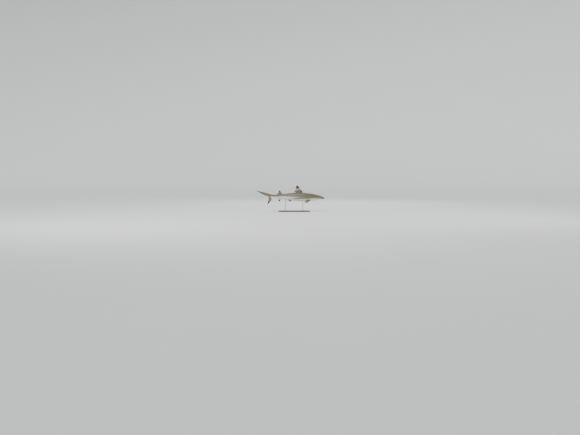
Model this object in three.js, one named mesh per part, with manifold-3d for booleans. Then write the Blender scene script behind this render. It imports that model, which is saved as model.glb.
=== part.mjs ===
// A life-size blacktip reef shark, cruising, on a plain display stand. Millimetres, +Z up, head towards +X.
//
// The flesh is drawn straight first. There, a place is (along, y, z): "along" is the share of the total
// length behind the snout tip, y is to the animal's left and z is up from the body's axis. The swimming
// bend, the pitch and the height over the floor are applied last, by toPlace.
import * as THREE from "three";
import { mergeVertices } from "three/addons/utils/BufferGeometryUtils.js";
import Module from "manifold-3d";

const wasm = await Module();
wasm.setup();

// ---------------------------------------------------------------------------------------------------------
// Driving dimensions
// ---------------------------------------------------------------------------------------------------------
const TOTAL_LENGTH = 1400;
const AXIS_HEIGHT = 300; // of the body's axis, midway between the rods, over the floor
const NOSE_DOWN = THREE.MathUtils.degToRad(2);
const PART_GAP = 0.3; // left between solids that touch

// Where the body is parted, as shares of the total length.
const HEAD_END = 0.162;
const TRUNK_END = 0.592;
const TAIL_END = 0.737;

const BODY_RINGS = 42;
const BODY_SIDES = 28;
const BODY_END = 0.985; // the flesh inside the upper tail lobe stops short of the lobe's tip

// The body's outline at its stations: the back over the axis, the belly under it and half the width, with
// how square the upper and lower half of each section is (2 is an ellipse). Shares of the total length.
const STATIONS = [
  { at: 0.0, back: -0.0065, belly: 0.0065, side: 0.0, upper: 2.0, lower: 2.0 }, // snout tip
  { at: 0.008, back: 0.005, belly: 0.0163, side: 0.0185, upper: 2.0, lower: 2.1 },
  { at: 0.02, back: 0.0125, belly: 0.02, side: 0.0275, upper: 2.05, lower: 2.2 },
  { at: 0.035, back: 0.0195, belly: 0.0228, side: 0.0345, upper: 2.1, lower: 2.35 }, // nostrils
  { at: 0.065, back: 0.0305, belly: 0.0275, side: 0.0437, upper: 2.1, lower: 2.5 }, // eyes, mouth
  { at: 0.11, back: 0.0425, belly: 0.0395, side: 0.0522, upper: 2.1, lower: 2.5 }, // jaw corners
  { at: 0.17, back: 0.0545, belly: 0.051, side: 0.0578, upper: 2.1, lower: 2.35 }, // first gill slit
  { at: 0.24, back: 0.0628, belly: 0.0585, side: 0.0595, upper: 2.0, lower: 2.25 }, // shoulder
  { at: 0.32, back: 0.066, belly: 0.061, side: 0.0575, upper: 1.95, lower: 2.15 }, // first dorsal
  { at: 0.41, back: 0.0615, belly: 0.059, side: 0.0515, upper: 1.95, lower: 2.1 },
  { at: 0.5, back: 0.052, belly: 0.05, side: 0.042, upper: 1.95, lower: 2.1 }, // pelvic fins
  { at: 0.61, back: 0.037, belly: 0.0335, side: 0.0285, upper: 1.95, lower: 2.0 }, // second dorsal
  { at: 0.69, back: 0.0265, belly: 0.0235, side: 0.0198, upper: 2.0, lower: 2.0 },
  { at: 0.745, back: 0.0212, belly: 0.0192, side: 0.0155, upper: 2.0, lower: 2.0 }, // tail stalk
  { at: 0.79, back: 0.0268, belly: 0.0025, side: 0.0112, upper: 2.0, lower: 2.0 }, // upper tail lobe
  { at: 0.84, back: 0.0365, belly: -0.0155, side: 0.0078, upper: 2.0, lower: 2.0 },
  { at: 0.9, back: 0.0485, belly: -0.0355, side: 0.0045, upper: 2.0, lower: 2.0 },
  { at: 0.985, back: 0.0652, belly: -0.0637, side: 0.0006, upper: 2.0, lower: 2.0 },
];

// The swimming bend: the heading's swing to the left, in degrees, at places along the body.
const HEADINGS = [
  { at: 0.0, swing: 3.5 },
  { at: 0.25, swing: 1.5 },
  { at: 0.5, swing: -4.5 },
  { at: 0.68, swing: -1.5 },
  { at: 0.8, swing: 14 },
  { at: 0.9, swing: 24 },
  { at: 1.0, swing: 29 },
];
const BEND_STEPS = 500;

// Fins. A place on a fin is [along, out], both as shares of the total length, with "out" counted from the
// skin under the fin's base. Thickness is at the thickest of the root. A paired fin stands out from
// [baseY, baseZ] inside the body, droops by so many degrees, and sags by that share more at its tip.
const FIN_SINK = 0.006; // how far a root is drawn inside the skin before it is cut back to it
const FIN_EDGE = 1.0; // full thickness of a fin's thin edges, in millimetres
const FINS = {
  first_dorsal_fin: {
    base: [0.315, 0.411], lead: [0.349, 0.062], tipFront: [0.403, 0.1], tip: [0.414, 0.109],
    tipRear: [0.4185, 0.099], trail: [0.414, 0.031], freeTip: [0.456, 0.0075], thickness: 0.0118,
  },
  second_dorsal_fin: {
    base: [0.613, 0.665], lead: [0.631, 0.0315], tipFront: [0.6545, 0.05], tip: [0.662, 0.0555],
    tipRear: [0.665, 0.05], trail: [0.6635, 0.013], freeTip: [0.703, 0.004], thickness: 0.0068,
  },
  anal_fin: {
    base: [0.617, 0.667], lead: [0.633, 0.0285], tipFront: [0.6545, 0.0455], tip: [0.662, 0.0505],
    tipRear: [0.6655, 0.045], trail: [0.6625, 0.0095], freeTip: [0.699, 0.004], thickness: 0.0066,
  },
  pectoral_fin: {
    base: [0.2, 0.257], lead: [0.226, 0.09], tipFront: [0.2735, 0.135], tip: [0.2845, 0.1435],
    tipRear: [0.289, 0.1355], trail: [0.2605, 0.06], freeTip: [0.2875, 0.0175], thickness: 0.0135,
    baseY: 0.034, baseZ: -0.031, droop: 14, sag: 0.011,
  },
  pelvic_fin: {
    base: [0.459, 0.511], lead: [0.475, 0.033], tipFront: [0.4965, 0.047], tip: [0.504, 0.0515],
    tipRear: [0.5075, 0.046], trail: [0.51, 0.0175], freeTip: [0.539, 0.0065], thickness: 0.0066,
    baseY: 0.014, baseZ: -0.032, droop: 34, sag: 0.003,
  },
};
const FIN_ROWS = 8;
const FIN_COLUMNS = 9;

// Tail fin lobes, as [along, z] places in the middle plane.
const UPPER_LOBE = {
  rootFront: [0.746, 0.0185], rootRear: [0.806, -0.0105], lead: [0.86, 0.046], tipFront: [0.9885, 0.0705],
  tip: [0.9985, 0.0715], tipRear: [0.9925, 0.063], trail: [0.875, 0.002], thickness: 0.0075,
};
const LOWER_LOBE = {
  rootFront: [0.744, 0.0], rootRear: [0.818, 0.004], lead: [0.768, -0.078], tipFront: [0.8215, -0.119],
  tip: [0.8285, -0.1245], tipRear: [0.8315, -0.1165], trail: [0.805, -0.052], thickness: 0.0085,
};
const LOBE_CUT = { front: [0.737, -0.0175], rear: [0.82, -0.01] }; // parts the two lobes
const NOTCH = { mouthFront: [0.939, 0.0245], root: [0.9475, 0.0475], mouthRear: [0.958, 0.03] };

// Head
const EYE = { at: 0.072, z: 0.007, radius: 17, sunk: 0.0088, sides: 16 };
const NOSTRIL = { at: 0.0335, y: 0.0205, length: 0.0085, width: 0.0028, depth: 0.009, slant: 22 };
const MOUTH = { front: 0.0625, corner: 0.112, halfWidth: 0.0425, level: -0.0225, throat: 0.121, bulge: 0.02 };
const MOUTH_SEGMENTS = 14;
const GILL_SLITS = [
  { at: 0.17, length: 0.03 },
  { at: 0.1835, length: 0.0345 },
  { at: 0.1965, length: 0.0355 },
  { at: 0.2085, length: 0.0325 },
  { at: 0.2195, length: 0.027 },
];
const GILL = { level: -0.006, width: 2.0, depth: 8, bow: 0.004, rise: 0.0022, segments: 5 };

// Display stand, in millimetres
const BASE = { length: 640, width: 260, thickness: 22, corner: 60, bevel: 3, curveSteps: 6 };
const ROD = { radius: 7, sides: 24, sunk: 24, front: 0.315, rear: 0.57 };
const COLLAR = { radius: 19, height: 9, chamfer: 2, sides: 24 };

const BODY_MIDDLE = (ROD.front + ROD.rear) / 2; // stands over the middle of the base

// ---------------------------------------------------------------------------------------------------------
// Numbers and curves
// ---------------------------------------------------------------------------------------------------------
const lerp = THREE.MathUtils.lerp;

/** A smooth curve through rows of named values, read at any place. Even steps in reach(at) are even steps of it. */
function smoothRows(rows, key, reach = (at) => at) {
  const xs = rows.map((row) => reach(row.at));
  const ys = rows.map((row) => row[key]);
  const last = rows.length - 1;
  const slopeAt = (i) => {
    const a = Math.max(i - 1, 0);
    const b = Math.min(i + 1, last);
    return (ys[b] - ys[a]) / (xs[b] - xs[a]);
  };
  const slopes = xs.map((_, i) => slopeAt(i));
  return (at) => {
    const x = THREE.MathUtils.clamp(reach(at), xs[0], xs[last]);
    let i = 0;
    while (i < last - 1 && x > xs[i + 1]) i += 1;
    const span = xs[i + 1] - xs[i];
    const t = (x - xs[i]) / span;
    const rise = ys[i + 1] - ys[i];
    const bulge = slopes[i] * span * (1 - t) - slopes[i + 1] * span * t - rise * (1 - 2 * t);
    return ys[i] + t * rise + t * (1 - t) * bulge;
  };
}

/** A quadratic Bezier curve in the plane. */
function arc(start, pull, end) {
  return (t) => [0, 1].map((i) => (1 - t) ** 2 * start[i] + 2 * t * (1 - t) * pull[i] + t * t * end[i]);
}

// Reading the outline by the square root of the place rounds off the snout.
const outline = Object.fromEntries(
  ["back", "belly", "side", "upper", "lower"].map((key) => [key, smoothRows(STATIONS, key, Math.sqrt)]),
);

/** The body's section at a place along it, as shares of the total length. */
function sectionAt(along) {
  const back = outline.back(along);
  const belly = outline.belly(along);
  const middle = (back - belly) / 2;
  return {
    middle,
    up: back - middle,
    down: belly + middle,
    side: outline.side(along),
    upper: outline.upper(along),
    lower: outline.lower(along),
  };
}

/** How far a place in a section is from its middle: under 1 inside the skin and over 1 outside it. */
function depthIn(section, y, z) {
  const above = z > section.middle;
  const power = above ? section.upper : section.lower;
  const height = above ? section.up : section.down;
  return Math.abs(y / section.side) ** power + Math.abs((z - section.middle) / height) ** power;
}

/** The distance from (y, z) to the skin in the direction (dy, dz), all as shares of the total length. */
function reachToSkin(along, y, z, dy, dz) {
  const section = sectionAt(along);
  let inside = 0;
  let outside = 0.2;
  for (let i = 0; i < 40; i += 1) {
    const half = (inside + outside) / 2;
    if (depthIn(section, y + dy * half, z + dz * half) < 1) inside = half;
    else outside = half;
  }
  return inside;
}

// ---------------------------------------------------------------------------------------------------------
// From the straight animal to its place on the stand
// ---------------------------------------------------------------------------------------------------------
const headingAt = smoothRows(HEADINGS, "swing");

/** The bent centreline, as points in plan at even steps along it, with the snout tip at the origin. */
function bentCentreline() {
  const points = [[0, 0]];
  for (let i = 0; i < BEND_STEPS; i += 1) {
    const heading = THREE.MathUtils.degToRad(headingAt((i + 0.5) / BEND_STEPS));
    const [x, y] = points[i];
    const step = TOTAL_LENGTH / BEND_STEPS;
    points.push([x - step * Math.cos(heading), y - step * Math.sin(heading)]);
  }
  return points;
}
const centreline = bentCentreline();

function centreAt(along) {
  const place = THREE.MathUtils.clamp(along, 0, 1) * BEND_STEPS;
  const i = Math.min(Math.floor(place), BEND_STEPS - 1);
  return [0, 1].map((k) => lerp(centreline[i][k], centreline[i + 1][k], place - i));
}

const bodyMiddle = centreAt(BODY_MIDDLE);
const setOnStand = new THREE.Matrix4()
  .makeTranslation(0, 0, AXIS_HEIGHT)
  .multiply(new THREE.Matrix4().makeRotationY(NOSE_DOWN));

/** The place on the stand of a point of the straight animal, whose x is minus its distance behind the snout. */
function toPlace(point) {
  const along = -point.x / TOTAL_LENGTH;
  const heading = THREE.MathUtils.degToRad(headingAt(THREE.MathUtils.clamp(along, 0, 1)));
  const [x, y] = centreAt(along);
  return new THREE.Vector3(
    x - bodyMiddle[0] - point.y * Math.sin(heading),
    y - bodyMiddle[1] + point.y * Math.cos(heading),
    point.z,
  ).applyMatrix4(setOnStand);
}

// ---------------------------------------------------------------------------------------------------------
// Solids
// ---------------------------------------------------------------------------------------------------------
/** A three.js geometry as a solid, for cutting and joining. */
function toSolid(geometry) {
  const bare = geometry.clone();
  bare.deleteAttribute("normal");
  bare.deleteAttribute("uv");
  const merged = mergeVertices(bare, 1e-3);
  return new wasm.Manifold(
    new wasm.Mesh({
      numProp: 3,
      vertProperties: merged.attributes.position.array,
      triVerts: new Uint32Array(merged.index.array),
    }),
  );
}

/** A cut or joined solid as a three.js geometry. */
function toGeometry(solid) {
  const { numProp, numVert, vertProperties, triVerts } = solid.getMesh();
  const positions = new Float32Array(numVert * 3);
  for (let i = 0; i < numVert; i += 1) {
    positions.set(vertProperties.subarray(i * numProp, i * numProp + 3), i * 3);
  }
  return new THREE.BufferGeometry()
    .setAttribute("position", new THREE.BufferAttribute(positions, 3))
    .setIndex(new THREE.BufferAttribute(triVerts, 1));
}

/** A geometry from points and faces, where a face with four corners is split in two. */
function geometryFrom(points, faces) {
  const index = faces.flatMap(([a, b, c, d]) => (d === undefined ? [a, b, c] : [a, b, c, a, c, d]));
  return new THREE.BufferGeometry().setFromPoints(points).setIndex(index);
}

/** A box in the straight animal's space, between two corners given as [along, y, z] shares. */
function blockBetween([along0, y0, z0], [along1, y1, z1]) {
  const size = [along1 - along0, y1 - y0, z1 - z0].map((share) => share * TOTAL_LENGTH);
  const middle = [-(along0 + along1) / 2, (y0 + y1) / 2, (z0 + z1) / 2].map((share) => share * TOTAL_LENGTH);
  return toSolid(new THREE.BoxGeometry(...size).translate(...middle));
}

/** The whole body with its tail stalk, skin moved out by a few tenths of a millimetre where asked. */
function bodySolid(grow = 0) {
  const more = grow / TOTAL_LENGTH;
  const points = [new THREE.Vector3(grow, 0, -STATIONS[0].belly * TOTAL_LENGTH)];
  for (let ring = 1; ring <= BODY_RINGS; ring += 1) {
    const along = BODY_END * (ring / BODY_RINGS) ** 1.5;
    const { middle, up, down, side, upper, lower } = sectionAt(along);
    for (let i = 0; i < BODY_SIDES; i += 1) {
      const angle = (2 * Math.PI * i) / BODY_SIDES;
      const power = Math.sin(angle) > 0 ? upper : lower;
      const height = (Math.sin(angle) > 0 ? up : down) + more;
      const swell = (share) => Math.sign(share) * Math.abs(share) ** (2 / power);
      points.push(
        new THREE.Vector3(-along, swell(Math.cos(angle)) * (side + more), middle + swell(Math.sin(angle)) * height)
          .multiplyScalar(TOTAL_LENGTH),
      );
    }
  }
  const { middle } = sectionAt(BODY_END);
  points.push(new THREE.Vector3(-BODY_END * TOTAL_LENGTH - 1, 0, middle * TOTAL_LENGTH));
  const corner = (ring, i) => 1 + (ring - 1) * BODY_SIDES + (i % BODY_SIDES);
  const faces = [];
  for (let i = 0; i < BODY_SIDES; i += 1) {
    faces.push([0, corner(1, i), corner(1, i + 1)]);
    faces.push([points.length - 1, corner(BODY_RINGS, i + 1), corner(BODY_RINGS, i)]);
    for (let ring = 1; ring < BODY_RINGS; ring += 1) {
      faces.push([corner(ring, i), corner(ring + 1, i), corner(ring + 1, i + 1), corner(ring, i + 1)]);
    }
  }
  return toSolid(geometryFrom(points, faces));
}

/** How thick a fin is across its chord, from 0 at the front edge to 1 at the thickest and back. */
function foil(share) {
  const wing = 0.2969 * Math.sqrt(share) - 0.126 * share - 0.3516 * share ** 2 + 0.2843 * share ** 3;
  return Math.max(wing - 0.1036 * share ** 4, 0) / 0.1;
}

/**
 * A fin blade between four edges. Each edge is a curve of [along, out] places: root and tip run from the
 * front to the rear, and lead and trail run from the root to the tip. toPoint sets a place and its
 * thickness to one side or the other in space.
 */
function blade({ root, tip, lead, trail, thickness, toPoint }) {
  const points = [];
  for (const face of [1, -1]) {
    for (let row = 0; row < FIN_ROWS; row += 1) {
      for (let column = 0; column < FIN_COLUMNS; column += 1) {
        const t = row / (FIN_ROWS - 1);
        const c = (column / (FIN_COLUMNS - 1)) ** 1.4;
        const place = [0, 1].map((i) => {
          const ruled = (1 - t) * root(c)[i] + t * tip(c)[i] + (1 - c) * lead(t)[i] + c * trail(t)[i];
          const near = (1 - c) * root(0)[i] + c * root(1)[i];
          const far = (1 - c) * tip(0)[i] + c * tip(1)[i];
          return ruled - (1 - t) * near - t * far;
        });
        const thick = thickness * TOTAL_LENGTH * (1 - 0.82 * t) * foil(c);
        points.push(toPoint(place, (face * Math.max(thick, FIN_EDGE)) / 2));
      }
    }
  }
  const corner = (face, row, column) => (face * FIN_ROWS + row) * FIN_COLUMNS + column;
  const faces = [];
  const quad = (a, b, c, d) => faces.push([corner(...a), corner(...b), corner(...c), corner(...d)]);
  const lastRow = FIN_ROWS - 1;
  const lastColumn = FIN_COLUMNS - 1;
  for (let r = 0; r < lastRow; r += 1) {
    for (let c = 0; c < lastColumn; c += 1) {
      quad([0, r, c], [0, r, c + 1], [0, r + 1, c + 1], [0, r + 1, c]);
      quad([1, r, c], [1, r + 1, c], [1, r + 1, c + 1], [1, r, c + 1]);
    }
    quad([0, r, 0], [0, r + 1, 0], [1, r + 1, 0], [1, r, 0]);
    quad([0, r, lastColumn], [1, r, lastColumn], [1, r + 1, lastColumn], [0, r + 1, lastColumn]);
  }
  for (let c = 0; c < lastColumn; c += 1) {
    quad([0, 0, c], [1, 0, c], [1, 0, c + 1], [0, 0, c + 1]);
    quad([0, lastRow, c], [0, lastRow, c + 1], [1, lastRow, c + 1], [1, lastRow, c]);
  }
  const geometry = geometryFrom(points, faces);
  const made = toSolid(geometry);
  if (made.volume() > 0) return made;
  return toSolid(geometryFrom(points, faces.map((face) => [...face].reverse())));
}

/** A fin that grows out of the body. side is 1 on the left, -1 on the right and 0 in the middle plane. */
function finSolid(fin, side, outward) {
  const droop = THREE.MathUtils.degToRad(fin.droop ?? 0);
  const [dy, dz] = side === 0 ? [0, outward] : [side * Math.cos(droop), -Math.sin(droop)];
  const baseY = side * (fin.baseY ?? 0);
  const baseZ = fin.baseZ ?? 0;
  const reach = (along) => reachToSkin(along, baseY, baseZ, dy, dz);
  const [front, rear] = fin.base;
  const skin = reach((front + rear) / 2); // the fin's places are counted from here
  const onFin = ([along, out]) => [along, skin + out];
  const lead = arc([front, reach(front) - FIN_SINK], onFin(fin.lead), onFin(fin.tipFront));
  const freeTip = [fin.freeTip[0], reach(fin.freeTip[0]) + fin.freeTip[1]];
  const root = (c) => {
    const along = lerp(front, fin.freeTip[0], c);
    const lift = THREE.MathUtils.smoothstep(along, rear - 0.004, rear + 0.006);
    const clear = lerp(0.0022, fin.freeTip[1], (along - rear) / (fin.freeTip[0] - rear));
    return [along, reach(along) + lerp(-FIN_SINK, clear, lift)];
  };
  const toPoint = ([along, out], thick) => {
    const sag = (fin.sag ?? 0) * Math.max((out - skin) / fin.tip[1], 0) ** 2;
    const across = thick + side * sag * TOTAL_LENGTH;
    return new THREE.Vector3(
      -along * TOTAL_LENGTH,
      (baseY + dy * out) * TOTAL_LENGTH + across * (side === 0 ? 1 : dz),
      (baseZ + dz * out) * TOTAL_LENGTH - across * dy,
    );
  };
  return blade({
    root,
    lead,
    tip: arc(onFin(fin.tipFront), onFin(fin.tip), onFin(fin.tipRear)),
    trail: arc(freeTip, onFin(fin.trail), onFin(fin.tipRear)),
    thickness: fin.thickness,
    toPoint,
  });
}

/** A lobe of the tail fin, in the middle plane. */
function lobeSolid(lobe) {
  const straight = (start, end) => (c) => [0, 1].map((i) => lerp(start[i], end[i], c));
  return blade({
    root: straight(lobe.rootFront, lobe.rootRear),
    lead: arc(lobe.rootFront, lobe.lead, lobe.tipFront),
    tip: arc(lobe.tipFront, lobe.tip, lobe.tipRear),
    trail: arc(lobe.rootRear, lobe.trail, lobe.tipRear),
    thickness: lobe.thickness,
    toPoint: ([along, z], thick) => new THREE.Vector3(-along * TOTAL_LENGTH, thick, z * TOTAL_LENGTH),
  });
}

/** A flat outline of [along, z] places, extruded across the middle plane. */
function sideCut(places, halfWidth) {
  const shape = new THREE.Shape(places.map(([along, z]) => new THREE.Vector2(-along, z).multiplyScalar(TOTAL_LENGTH)));
  const depth = 2 * halfWidth * TOTAL_LENGTH;
  const slab = new THREE.ExtrudeGeometry(shape, { depth, bevelEnabled: false });
  return toSolid(slab.rotateX(Math.PI / 2).translate(0, depth / 2, 0));
}

// ---------------------------------------------------------------------------------------------------------
// The head's openings
// ---------------------------------------------------------------------------------------------------------
/** The eyeball, or with grow the socket that it sits in. */
function eyeSolid(side, grow = 0) {
  const skin = reachToSkin(EYE.at, 0, EYE.z, 1, 0);
  return toSolid(
    new THREE.SphereGeometry(EYE.radius + grow, EYE.sides, EYE.sides / 2)
      .rotateX(Math.PI / 2)
      .translate(-EYE.at * TOTAL_LENGTH, side * (skin - EYE.sunk) * TOTAL_LENGTH, EYE.z * TOTAL_LENGTH),
  );
}

function nostrilCut(side) {
  const { belly } = outline;
  return toSolid(
    new THREE.SphereGeometry(1, 12, 8)
      .scale(NOSTRIL.width * TOTAL_LENGTH, NOSTRIL.length * TOTAL_LENGTH, NOSTRIL.depth * TOTAL_LENGTH)
      .rotateZ(THREE.MathUtils.degToRad(-side * NOSTRIL.slant))
      .translate(
        -NOSTRIL.at * TOTAL_LENGTH,
        side * NOSTRIL.y * TOTAL_LENGTH,
        -belly(NOSTRIL.at) * TOTAL_LENGTH,
      ),
  );
}

/** What lies inside the curve of the mouth and below it. The lower jaw is the flesh in here. */
function jawSpace(grow) {
  const more = grow / TOTAL_LENGTH;
  const rim = [];
  for (let i = 0; i <= MOUTH_SEGMENTS; i += 1) {
    const across = (2 * i) / MOUTH_SEGMENTS - 1;
    rim.push([
      lerp(MOUTH.front, MOUTH.corner, across ** 2) - more,
      across * (MOUTH.halfWidth + more),
    ]);
  }
  const throat = rim.map(([, y]) => [MOUTH.throat + more + MOUTH.bulge * (1 - (y / MOUTH.halfWidth) ** 2), y]);
  const shape = new THREE.Shape(
    [...rim, ...throat.reverse()].map(([along, y]) => new THREE.Vector2(-along, y).multiplyScalar(TOTAL_LENGTH)),
  );
  const depth = (0.1 + MOUTH.level + more) * TOTAL_LENGTH;
  return toSolid(new THREE.ExtrudeGeometry(shape, { depth, bevelEnabled: false }).translate(0, 0, -0.1 * TOTAL_LENGTH));
}

/** One gill slit: a bowed blade-shaped space, from outside the skin to a few millimetres under it. */
function gillCut({ at, length }, side) {
  const front = [];
  const rear = [];
  const halfWidth = GILL.width / 2 / TOTAL_LENGTH;
  for (let i = 0; i <= GILL.segments; i += 1) {
    const share = (2 * i) / GILL.segments - 1;
    const z = GILL.level + (share * length) / 2;
    const along = at + GILL.bow * (1 - share ** 2) - GILL.rise * share;
    const taper = Math.max(1 - share ** 4, 0.35);
    front.push([along - halfWidth * taper, z]);
    rear.unshift([along + halfWidth * taper, z]);
  }
  const outer = 0.02;
  const skin = outline.side(at);
  const inner = skin - GILL.depth / TOTAL_LENGTH;
  const middle = side * (inner + (skin - inner + outer) / 2) * TOTAL_LENGTH;
  return sideCut([...front, ...rear], (skin - inner + outer) / 2).translate([0, middle, 0]);
}

// ---------------------------------------------------------------------------------------------------------
// Materials
// ---------------------------------------------------------------------------------------------------------
const finish = (color, roughness, metalness = 0) => new THREE.MeshStandardMaterial({ color, roughness, metalness });
const SKIN = finish(0x7d7566, 0.55);
const FIN_SKIN = finish(0x6f685b, 0.55);
const EYEBALL = finish(0x1c1d1a, 0.12);
const BASE_WOOD = finish(0x4a3222, 0.5);
const ROD_STEEL = finish(0xb9bcc0, 0.35, 1);

// ---------------------------------------------------------------------------------------------------------
// The shark
// ---------------------------------------------------------------------------------------------------------
const shark = new THREE.Group();

function addMesh(name, geometry, material) {
  const mesh = new THREE.Mesh(geometry, material);
  mesh.name = name;
  shark.add(mesh);
}

/** A straight piece of the animal, bent and set on the stand. */
function placed(solid) {
  const geometry = toGeometry(solid);
  const { position } = geometry.attributes;
  const point = new THREE.Vector3();
  for (let i = 0; i < position.count; i += 1) {
    position.setXYZ(i, ...toPlace(point.fromBufferAttribute(position, i)).toArray());
  }
  return geometry;
}

const half = PART_GAP / 2 / TOTAL_LENGTH;
const lengthOfBody = (start, end) => blockBetween([start, -0.2, -0.3], [end, 0.2, 0.3]);

const body = bodySolid();
const grownBody = bodySolid(PART_GAP);

let head = body.intersect(lengthOfBody(-0.1, HEAD_END - half));
const jaw = head.intersect(jawSpace(0));
head = head.subtract(jawSpace(PART_GAP));
for (const side of [1, -1]) {
  head = head.subtract(eyeSolid(side, PART_GAP)).subtract(nostrilCut(side));
}
addMesh("head", placed(head), SKIN);
addMesh("lower_jaw", placed(jaw), SKIN);
addMesh("eye_left", placed(eyeSolid(1)), EYEBALL);
addMesh("eye_right", placed(eyeSolid(-1)), EYEBALL);

let trunk = body.intersect(lengthOfBody(HEAD_END + half, TRUNK_END - half));
for (const slit of GILL_SLITS) {
  for (const side of [1, -1]) trunk = trunk.subtract(gillCut(slit, side));
}
const tail = body.intersect(lengthOfBody(TRUNK_END + half, TAIL_END - half));
addMesh("tail", placed(tail), SKIN);

for (const [name, outward] of [["first_dorsal_fin", 1], ["second_dorsal_fin", 1], ["anal_fin", -1]]) {
  addMesh(name, placed(finSolid(FINS[name], 0, outward).subtract(grownBody)), FIN_SKIN);
}
for (const [sideName, side] of [["left", 1], ["right", -1]]) {
  for (const name of ["pectoral_fin", "pelvic_fin"]) {
    addMesh(`${name}_${sideName}`, placed(finSolid(FINS[name], side, 0).subtract(grownBody)), FIN_SKIN);
  }
}

// The tail fin is drawn whole, then parted from the stalk and into its two lobes.
const tailFin = body
  .add(lobeSolid(UPPER_LOBE))
  .add(lobeSolid(LOWER_LOBE))
  .subtract(sideCut([NOTCH.mouthFront, NOTCH.root, NOTCH.mouthRear], 0.02))
  .intersect(lengthOfBody(TAIL_END + half, 1.1));
const { front: cutFront, rear: cutRear } = LOBE_CUT;
const lobeHalf = (edge, level) => {
  const beyond = (place, run) => [place[0] + run, place[1] + (run * (cutRear[1] - cutFront[1])) / (cutRear[0] - cutFront[0])];
  const start = beyond(cutFront, -0.1);
  const end = beyond(cutRear, 0.3);
  return sideCut([[start[0], start[1] + edge], [end[0], end[1] + edge], [end[0], level], [start[0], level]], 0.1);
};
addMesh("caudal_fin_upper_lobe", placed(tailFin.intersect(lobeHalf(half, 0.5))), FIN_SKIN);
addMesh("caudal_fin_lower_lobe", placed(tailFin.intersect(lobeHalf(-half, -0.5))), FIN_SKIN);

// ---------------------------------------------------------------------------------------------------------
// The stand
// ---------------------------------------------------------------------------------------------------------
function baseGeometry() {
  const { length, width, thickness, corner, bevel, curveSteps } = BASE;
  const x = length / 2 - bevel;
  const y = width / 2 - bevel;
  const shape = new THREE.Shape();
  shape.moveTo(-x + corner, -y);
  shape.absarc(x - corner, -y + corner, corner, -Math.PI / 2, 0);
  shape.absarc(x - corner, y - corner, corner, 0, Math.PI / 2);
  shape.absarc(-x + corner, y - corner, corner, Math.PI / 2, Math.PI);
  shape.absarc(-x + corner, -y + corner, corner, Math.PI, 1.5 * Math.PI);
  return new THREE.ExtrudeGeometry(shape, {
    depth: thickness - 2 * bevel,
    bevelThickness: bevel,
    bevelSize: bevel,
    bevelSegments: 1,
    curveSegments: curveSteps,
  }).translate(0, 0, bevel);
}

function collarGeometry() {
  const inner = ROD.radius + PART_GAP;
  const { radius, height, chamfer, sides } = COLLAR;
  const profile = [
    [inner, 0],
    [radius, 0],
    [radius, height - chamfer],
    [radius - chamfer, height],
    [inner, height],
    [inner, 0],
  ].map(([r, z]) => new THREE.Vector2(r, z));
  return new THREE.LatheGeometry(profile, sides).rotateX(Math.PI / 2);
}

const deck = BASE.thickness + PART_GAP; // the rods and collars stand here
addMesh("stand_base", baseGeometry(), BASE_WOOD);

let socketedTrunk = toSolid(placed(trunk));
for (const name of ["front", "rear"]) {
  const along = ROD[name];
  const bellyPoint = toPlace(new THREE.Vector3(-along, 0, -outline.belly(along)).multiplyScalar(TOTAL_LENGTH));
  const top = bellyPoint.z + ROD.sunk;
  const rod = (bottom, end, radius) =>
    new THREE.CylinderGeometry(radius, radius, end - bottom, ROD.sides)
      .rotateX(Math.PI / 2)
      .translate(bellyPoint.x, bellyPoint.y, (bottom + end) / 2);
  addMesh(`stand_rod_${name}`, rod(deck, top, ROD.radius), ROD_STEEL);
  addMesh(`stand_collar_${name}`, collarGeometry().translate(bellyPoint.x, bellyPoint.y, deck), ROD_STEEL);
  socketedTrunk = socketedTrunk.subtract(toSolid(rod(deck, top + PART_GAP, ROD.radius + PART_GAP)));
}
addMesh("trunk", toGeometry(socketedTrunk), SKIN);

export default shark;
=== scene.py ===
"""A life-size blacktip reef shark on a plain display stand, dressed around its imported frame.

The flesh is one skin. It is shaped straight, and then bent into its cruising pose. In the straight animal a
point is (along, y, z): along is the distance behind the snout tip, y is to the animal's left and z is up
from the body's axis. The plans below give them as shares of the total length, and meshes are in metres.
"""

import itertools
import logging
import math
from contextlib import contextmanager
from dataclasses import dataclass, field
from enum import Enum
from functools import cache
from typing import Any, Callable, Iterator, Sequence

import bmesh
import bpy
import numpy as np
from mathutils import Matrix, Vector, kdtree


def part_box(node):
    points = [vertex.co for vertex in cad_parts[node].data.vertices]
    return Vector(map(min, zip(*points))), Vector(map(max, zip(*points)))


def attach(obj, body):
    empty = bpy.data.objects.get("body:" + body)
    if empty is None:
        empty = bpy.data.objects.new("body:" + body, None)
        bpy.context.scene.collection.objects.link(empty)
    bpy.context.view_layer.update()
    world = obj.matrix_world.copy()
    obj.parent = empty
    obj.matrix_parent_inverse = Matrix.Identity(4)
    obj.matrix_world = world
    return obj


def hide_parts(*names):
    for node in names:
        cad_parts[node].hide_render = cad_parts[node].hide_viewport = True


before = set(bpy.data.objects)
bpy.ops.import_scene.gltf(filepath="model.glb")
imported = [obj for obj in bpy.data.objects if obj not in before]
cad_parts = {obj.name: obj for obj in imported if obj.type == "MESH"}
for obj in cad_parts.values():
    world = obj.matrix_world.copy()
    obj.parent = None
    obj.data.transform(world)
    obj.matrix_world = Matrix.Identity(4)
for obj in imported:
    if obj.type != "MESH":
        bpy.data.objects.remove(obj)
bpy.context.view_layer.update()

LOG = logging.getLogger("reef_shark")
BODY = "root"
MM = 0.001
ROUND = 2 * math.pi
Array = np.ndarray
Curve = Callable[[Array], Array]
Row = tuple[float, ...]
Spot = tuple[float, float]
Mesh = bpy.types.Mesh
Piece = bpy.types.Object
Material = bpy.types.Material


class Side(Enum):
    """Which side of the animal a thing is on, as the sign of its y."""

    LEFT = 1
    RIGHT = -1
    MIDDLE = 0


BOTH = (Side.LEFT, Side.RIGHT)


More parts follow.
